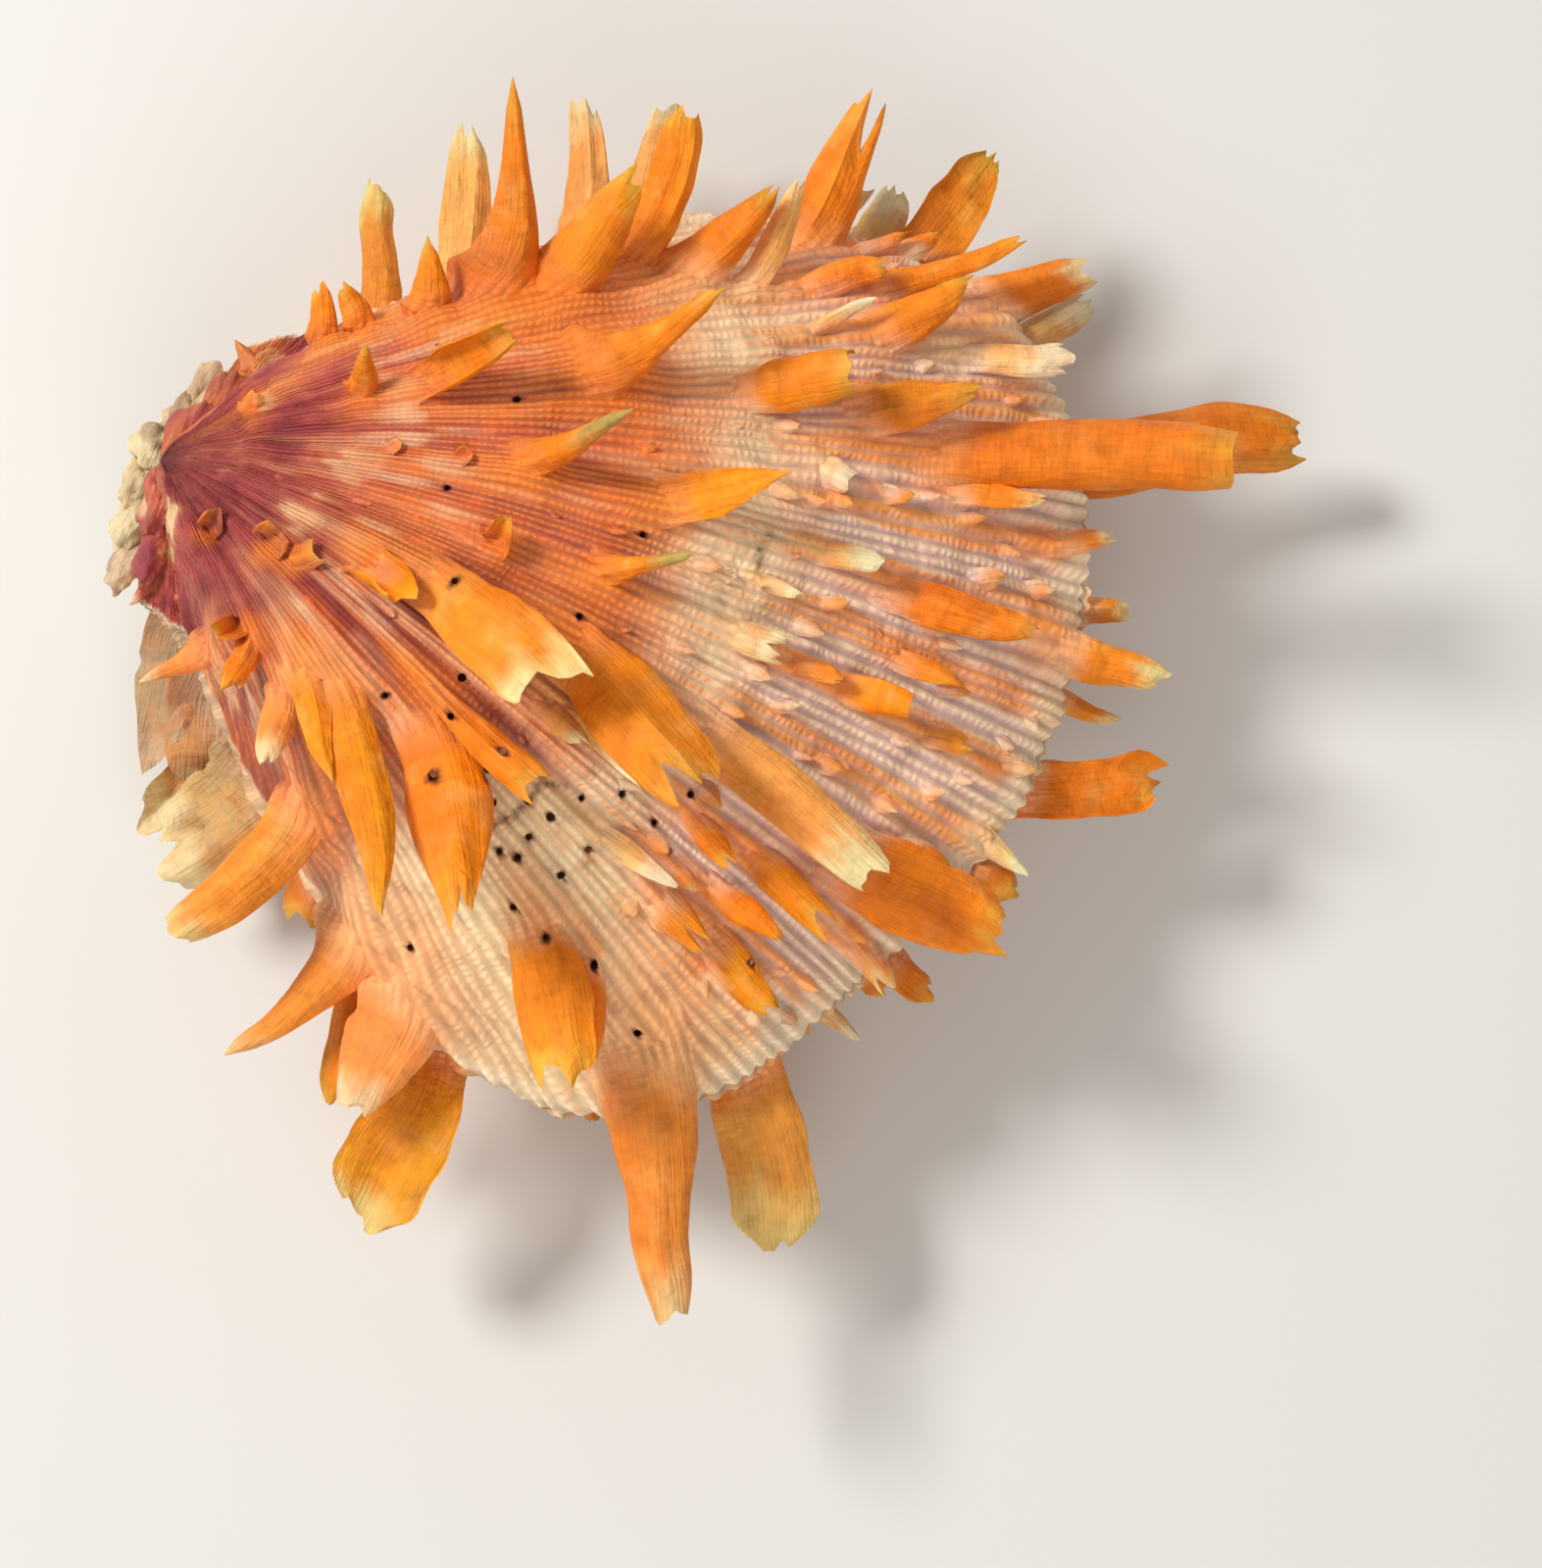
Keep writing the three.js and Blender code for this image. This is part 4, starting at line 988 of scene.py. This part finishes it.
def shellMaterial(name):
    material, tree = startMaterial(name)
    pigment = addNode(tree, "ShaderNodeAttribute", attribute_name="pigment")["Color"]
    place = addNode(tree, "ShaderNodeTexCoord")["Object"]
    growth = addNode(tree, "ShaderNodeUVMap", uv_map="growth")["UV"]
    parts = addNode(tree, "ShaderNodeSeparateXYZ", {0: growth})
    values = {"ribletPlace": parts["X"], "growthPlace": parts["Y"]}
    for title in ("thorn", "nodule"):
        values[title] = addNode(tree, "ShaderNodeAttribute", attribute_name=title)["Fac"]
    for title, scale, detail, roughness in (
        ("wobble", 260.0, 2.0, 0.5), ("drift", 110.0, 1.0, 0.5), ("rubbed", 180.0, 2.0, 0.5),
        ("fine", 1500.0, 4.0, 0.5), ("mottle", 420.0, 5.0, 0.6), ("worn", 330.0, 3.0, 0.5),
    ):
        grain = {"Vector": place, "Scale": scale, "Detail": detail, "Roughness": roughness}
        values[title] = addNode(tree, "ShaderNodeTexNoise", grain)[0]
    for title, stretch, detail in (("fibres", (420.0, 26.0, 1.0), 3.0), ("grown", (60.0, 120.0, 1.0), 4.0)):
        drawn = addNode(tree, "ShaderNodeMapping", {"Vector": growth, "Scale": stretch})[0]
        grain = {"Vector": drawn, "Scale": 1.0, "Detail": detail}
        values[title] = addNode(tree, "ShaderNodeTexNoise", grain)[0]
    values["kept"] = addNode(
        tree, "ShaderNodeMapRange", {"Value": values["worn"], "From Min": 0.4, "From Max": 0.56},
    )[0]
    for title, operation, *terms in (  # each row names a sum that later rows may use
        # half is 1 along a riblet and 0 in a furrow, bead is 1 on a bead of the riblet
        ("valve", "SUBTRACT", 1.0, "thorn"),
        ("sideways", "MULTIPLY", "wobble", 0.35),
        ("riblet", "MULTIPLY_ADD", "ribletPlace", 100.0, "sideways"),
        ("ribletTurn", "MULTIPLY", "riblet", 6.283),
        ("ribletWave", "COSINE", "ribletTurn"),
        ("half", "MULTIPLY_ADD", "ribletWave", 0.5, 0.5),
        ("onward", "MULTIPLY", "wobble", 2.2),
        ("shifts", "MULTIPLY_ADD", "drift", 3.5, "onward"),
        ("length", "MULTIPLY_ADD", "growthPlace", 100.0, "shifts"),
        ("beadTurn", "MULTIPLY", "length", shellSettings["beadTurn"]),
        ("beadWave", "COSINE", "beadTurn"),
        ("bead", "MULTIPLY_ADD", "beadWave", 0.5, 0.5),
        ("whole", "MULTIPLY_ADD", "rubbed", 1.1, 0.3),
        ("wholeOnValve", "MULTIPLY", "valve", "whole"),
        ("ribletBead", "MULTIPLY", "half", "bead"),
        ("beads", "MULTIPLY", "ribletBead", "wholeOnValve"),
        # tone: painted shade darkens the furrows and a painted highlight lightens the riblet crests and
        # bead tops, with a chalky mottle and the fibres of growth
        ("mottled", "SUBTRACT", "mottle", 0.5),
        ("chalky", "MULTIPLY_ADD", "mottled", 0.72, 1.0),
        ("furrow", "SUBTRACT", "half", 0.6),
        ("furrowShade", "MULTIPLY", "furrow", "valve"),
        ("furrowShaded", "MULTIPLY_ADD", "furrowShade", 0.22, "chalky"),
        ("fibre", "SUBTRACT", "fibres", 0.5),
        ("fibrous", "MULTIPLY_ADD", "fibre", 0.5, "furrowShaded"),
        ("level", "MULTIPLY", "valve", 0.3),
        ("beadHighlight", "SUBTRACT", "beads", "level"),
        ("tone", "MULTIPLY_ADD", "beadHighlight", 0.25, "fibrous"),
        # where a bead keeps its own orange
        ("beadCore", "MULTIPLY_ADD", "bead", 0.65, 0.35),
        ("beadSoft", "MULTIPLY", "beadCore", "half"),
        ("beadShare", "MULTIPLY", "nodule", "beadSoft"),
        ("keptShare", "MULTIPLY", "kept", 0.8),
        ("beadMask", "MULTIPLY", "beadShare", "keptShare"),
        # height: beads and riblets on the valves, fibres along the spines, a fine grain everywhere
        ("beadHeight", "MULTIPLY", "beads", 0.09),
        ("ribletHeight", "MULTIPLY", "half", "valve"),
        ("ribbed", "MULTIPLY_ADD", "ribletHeight", 0.08, "beadHeight"),
        ("fibreShare", "MULTIPLY_ADD", "thorn", 0.16, 0.12),
        ("fibreHeight", "MULTIPLY_ADD", "fibres", "fibreShare", "ribbed"),
        ("grownShare", "MULTIPLY_ADD", "thorn", 0.25, 0.1),
        ("grownHeight", "MULTIPLY_ADD", "grown", "grownShare", "fibreHeight"),
        ("height", "MULTIPLY_ADD", "fine", 0.05, "grownHeight"),
        ("rough", "MULTIPLY_ADD", "mottle", 0.3, 0.38),
    ):
        sockets = {k: values.get(term, term) for k, term in enumerate(terms)}
        values[title] = addNode(tree, "ShaderNodeMath", sockets, operation=operation)[0]
    toned = addNode(tree, "ShaderNodeVectorMath", {0: pigment, 1: values["tone"]}, operation="MULTIPLY")[0]
    beadColour = (*linear(shellSettings["beadColour"]), 1)
    colour = addNode(
        tree, "ShaderNodeMix", {0: values["beadMask"], 6: toned, 7: beadColour}, data_type="RGBA",
    )[2]
    raised = addNode(tree, "ShaderNodeBump", {
        "Height": values["height"], "Strength": 0.9, "Distance": shellSettings["rise"],
    })[0]
    shader = addNode(tree, "ShaderNodeBsdfPrincipled", {
        "Base Color": colour, "Roughness": values["rough"], "Normal": raised,
        "IOR": shellSettings["ior"], "Specular IOR Level": shellSettings["glint"],
        "Subsurface Weight": shellSettings["sunk"], "Subsurface Scale": shellSettings["sunkScale"],
        "Subsurface Radius": (1.0, 0.5, 0.25),
    })[0]
    addNode(tree, "ShaderNodeOutputMaterial", {"Surface": shader})
    return material


def ligamentMaterial(name):  # horny protein laid down in layers: dark brown, with a slightly waxy sheen
    material, tree = startMaterial(name)
    pigment = addNode(tree, "ShaderNodeAttribute", attribute_name="pigment")["Color"]
    looks = {"Base Color": pigment, "Roughness": 0.5, "IOR": 1.54}
    shader = addNode(tree, "ShaderNodeBsdfPrincipled", looks)[0]
    addNode(tree, "ShaderNodeOutputMaterial", {"Surface": shader})
    return material


def paperMaterial(name, hexColour):  # uncoated paper: a pale, even matt ground that keeps shadows soft
    material, tree = startMaterial(name)
    looks = {"Base Color": (*linear(hexColour), 1), "Roughness": 0.8, "IOR": 1.5}
    shader = addNode(tree, "ShaderNodeBsdfPrincipled", looks)[0]
    addNode(tree, "ShaderNodeOutputMaterial", {"Surface": shader})
    return material


blanks = [makeBlank("blankFine", 26, 34), makeBlank("blankMiddle", 16, 18), makeBlank("blankSmall", 8, 6)]
print("blanks made")

upper = makeValve("upperValve", upperForm, upperRibs, upperSteps, upperSpines, upperPigment, 17, 5)
print("upper valve skin", triangles(upper))
upperSet = spineSet(upperForm, upperSpines, "upperSpine", blanks, 100)
upperScales = scatterScales(
    upperForm, upperRibs, upperSpines, 31,
    [(10, 30, 5, ["amber", "plum"]), (30, 60, 7, ["orange", "amber"]),
     (60, 90, 3.4, ["orange", "gold", "orange", "amber", "stub"])],
)
upperSet += spineSet(upperForm, upperScales, "upperScale", blanks, 400)
print("upper spines", len(upperSet))
skin = remember(upper)
upperKnobs = [  # the plum beak: centre, half sizes and colour of each knob
    ((-0.9, 2.6, 4), (2.3, 4, 2.2), "#9A4450"), ((-1.1, -4.6, 3.6), (2.2, 4, 2.2), "#96404C"),
    ((0.2, 8, 2.4), (1.7, 3.4, 1.8), "#9A4450"), ((0, -10, 2.2), (1.6, 3.2, 1.7), "#9A4450"),
]
upperSet += [lump(f"upperKnob{k}", *knob, 50 + k) for k, knob in enumerate(upperKnobs)]
carve(upper, joinAll(upperSet), "UNION")
cutPit(upper)
settleColours(upper, skin, drill(upper, upperForm))
print("upper valve united", triangles(upper))
thin(upper)
print("upper valve", triangles(upper))

lower = makeValve("lowerValve", lowerForm, lowerRibs, lowerSteps, lowerSpines, lowerPigment, 19, 11)
lowerSet = spineSet(lowerForm, lowerSpines, "lowerSpine", blanks, 700)
lowerScales = scatterScales(
    lowerForm, lowerRibs, lowerSpines, 37, [(60, 90, 5, ["salmon", "peach", "pale"])],
)
lowerSet += spineSet(lowerForm, lowerScales, "lowerScale", blanks, 900)
skin = remember(lower)
lowerKnobs = [  # the worn cream beak behind the hinge
    ((-4.9, 1.4, -1.6), (2.4, 2.8, 2.2), "#E4CFA2"), ((-3.6, 5.4, -2), (1.9, 3, 1.9), "#D2B58C"),
    ((-4.9, -3, -2.2), (2, 3.2, 2.2), "#DCC496"), ((-4, -7.4, -2.2), (1.8, 3.2, 2), "#E2CDA0"),
    ((-2.8, 9.4, -2.4), (1.6, 3, 1.8), "#D0AE88"), ((-3, -11, -2.4), (1.6, 2.8, 1.8), "#D8BA94"),
]
carve(lower, joinAll(lowerSet), "UNION")
cutPit(lower)
beak = joinAll([lump(f"lowerKnob{k}", *knob, 60 + k) for k, knob in enumerate(lowerKnobs)])
carve(lower, beak, "UNION")
restOnFloor(lower)
settleColours(lower, skin, [])
print("lower valve united", triangles(lower))
thin(lower)
print("lower valve", triangles(lower))

calcite = shellMaterial("calciteShell")
for valve, node, slotName in ((upper, "upper_valve", "upper_shell"), (lower, "lower_valve", "lower_shell")):
    valve.data.materials.clear()
    valve.data.materials.append(calcite)
    pick(valve)
    bpy.ops.object.shade_smooth_by_angle(angle=math.radians(60))
    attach(valve, "root")
    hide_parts(node)
for blank in blanks:
    bpy.data.objects.remove(blank)
print("valves finished")

# the ligament: a dark springy pad between the valves, built in thin layers
ligamentSettings = {
    "back": -0.6, "front": 4.9, "halfBack": 1.6, "halfFront": 2.0, "depth": 3.7, "slimmed": 1.9,
    "layerTurn": 30, "layerRise": 0.05,
}
deselectAll()
bpy.ops.mesh.primitive_cube_add(size=1, location=(0, 0, 0))
ligament = bpy.context.object
ligament.name = "hingeLigament"
bpy.ops.object.mode_set(mode="EDIT")
bpy.ops.mesh.subdivide(number_cuts=15)
bpy.ops.object.mode_set(mode="OBJECT")
co = readPoints(ligament)
layerWave = np.cos(co[:, 2] * ligamentSettings["layerTurn"])
layered = 1 + ligamentSettings["layerRise"] * layerWave
back, front = ligamentSettings["back"], ligamentSettings["front"]
halfBack, halfFront = ligamentSettings["halfBack"], ligamentSettings["halfFront"]
forward = back + (front - back) * (co[:, 0] * layered + 0.5)
half = (halfBack + (halfFront - halfBack) * (co[:, 0] + 0.5)) * ligamentSettings["slimmed"]
high = co[:, 2] * ligamentSettings["slimmed"] * ligamentSettings["depth"]
points = np.stack([forward, co[:, 1] * half * layered, high], -1)
ligament.data.vertices.foreach_set("co", toMetres(points).ravel())
layers = 0.5 + 0.5 * layerWave
pigment = blendColour(np.broadcast_to(linear("#3A2014"), co.shape).copy(), "#6B4426", layers)
paint(ligament.data, pigment, co[:, 0], co[:, 2], 0)
ligament.data.materials.append(ligamentMaterial("conchiolin"))
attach(ligament, "root")
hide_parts("hinge_ligament")
print("ligament finished")

# the floor, the camera and the lights
bpy.ops.mesh.primitive_plane_add(size=3, location=(0, 0, 0))
floor = bpy.context.object
floor.name = "floor"
floor.data.materials.append(paperMaterial("palePaper", "#DDDAD4"))

cameraSettings = {
    "azimuth": 22, "elevation": 79, "distance": 0.667, "lens": 150, "aim": (0.0335, -0.0079, 0.024),
}
azimuth, elevation = math.radians(cameraSettings["azimuth"]), math.radians(cameraSettings["elevation"])
right = Vector((math.cos(azimuth), math.sin(azimuth), 0))
backward = Vector((
    math.sin(azimuth) * math.cos(elevation), -math.cos(azimuth) * math.cos(elevation), math.sin(elevation),
))
upward = backward.cross(right)
cameraData = bpy.data.cameras.new("camera")
cameraData.lens = cameraSettings["lens"]
cameraData.sensor_width = 36
cameraData.clip_start = 0.01
camera = bpy.data.objects.new("camera", cameraData)
bpy.context.scene.collection.objects.link(camera)
place = Vector(cameraSettings["aim"]) + backward * cameraSettings["distance"]
camera.matrix_world = Matrix.Translation(place) @ Matrix((right, upward, backward)).transposed().to_4x4()
bpy.context.scene.camera = camera

lightSettings = {  # place: to the right of the view, up across it and above the floor, in metres
    "key": {"place": (-0.5, 0.24, 0.66), "power": 6.0, "size": 0.25},
    "fill": {"place": (0.05, -0.6, 0.6), "power": 2.2, "size": 0.6},
    "rim": {"place": (0.2, 0.8, 0.3), "power": 0.7, "size": 0.4},
}
lightAim = Vector((0.01, 0, 0.02))
upView = Vector((-right.y, right.x, 0))
for name, light in lightSettings.items():
    rightward, onward, high = light["place"]
    place = Vector((lightAim.x, 0, high)) + right * rightward + upView * onward
    data = bpy.data.lights.new(name, "AREA")
    data.energy, data.shape, data.size = light["power"], "DISK", light["size"]
    lamp = bpy.data.objects.new(name, data)
    bpy.context.scene.collection.objects.link(lamp)
    aim = (lightAim - place).to_track_quat("-Z", "Y")
    lamp.matrix_world = Matrix.Translation(place) @ aim.to_matrix().to_4x4()

world = bpy.data.worlds.new("studio")
world.use_nodes = True
background = world.node_tree.nodes["Background"].inputs
background["Color"].default_value = (1, 0.98, 0.95, 1)
background["Strength"].default_value = 0.37
bpy.context.scene.world = world
bpy.context.scene.view_settings.view_transform = "Standard"
print("floor, lights and camera set")
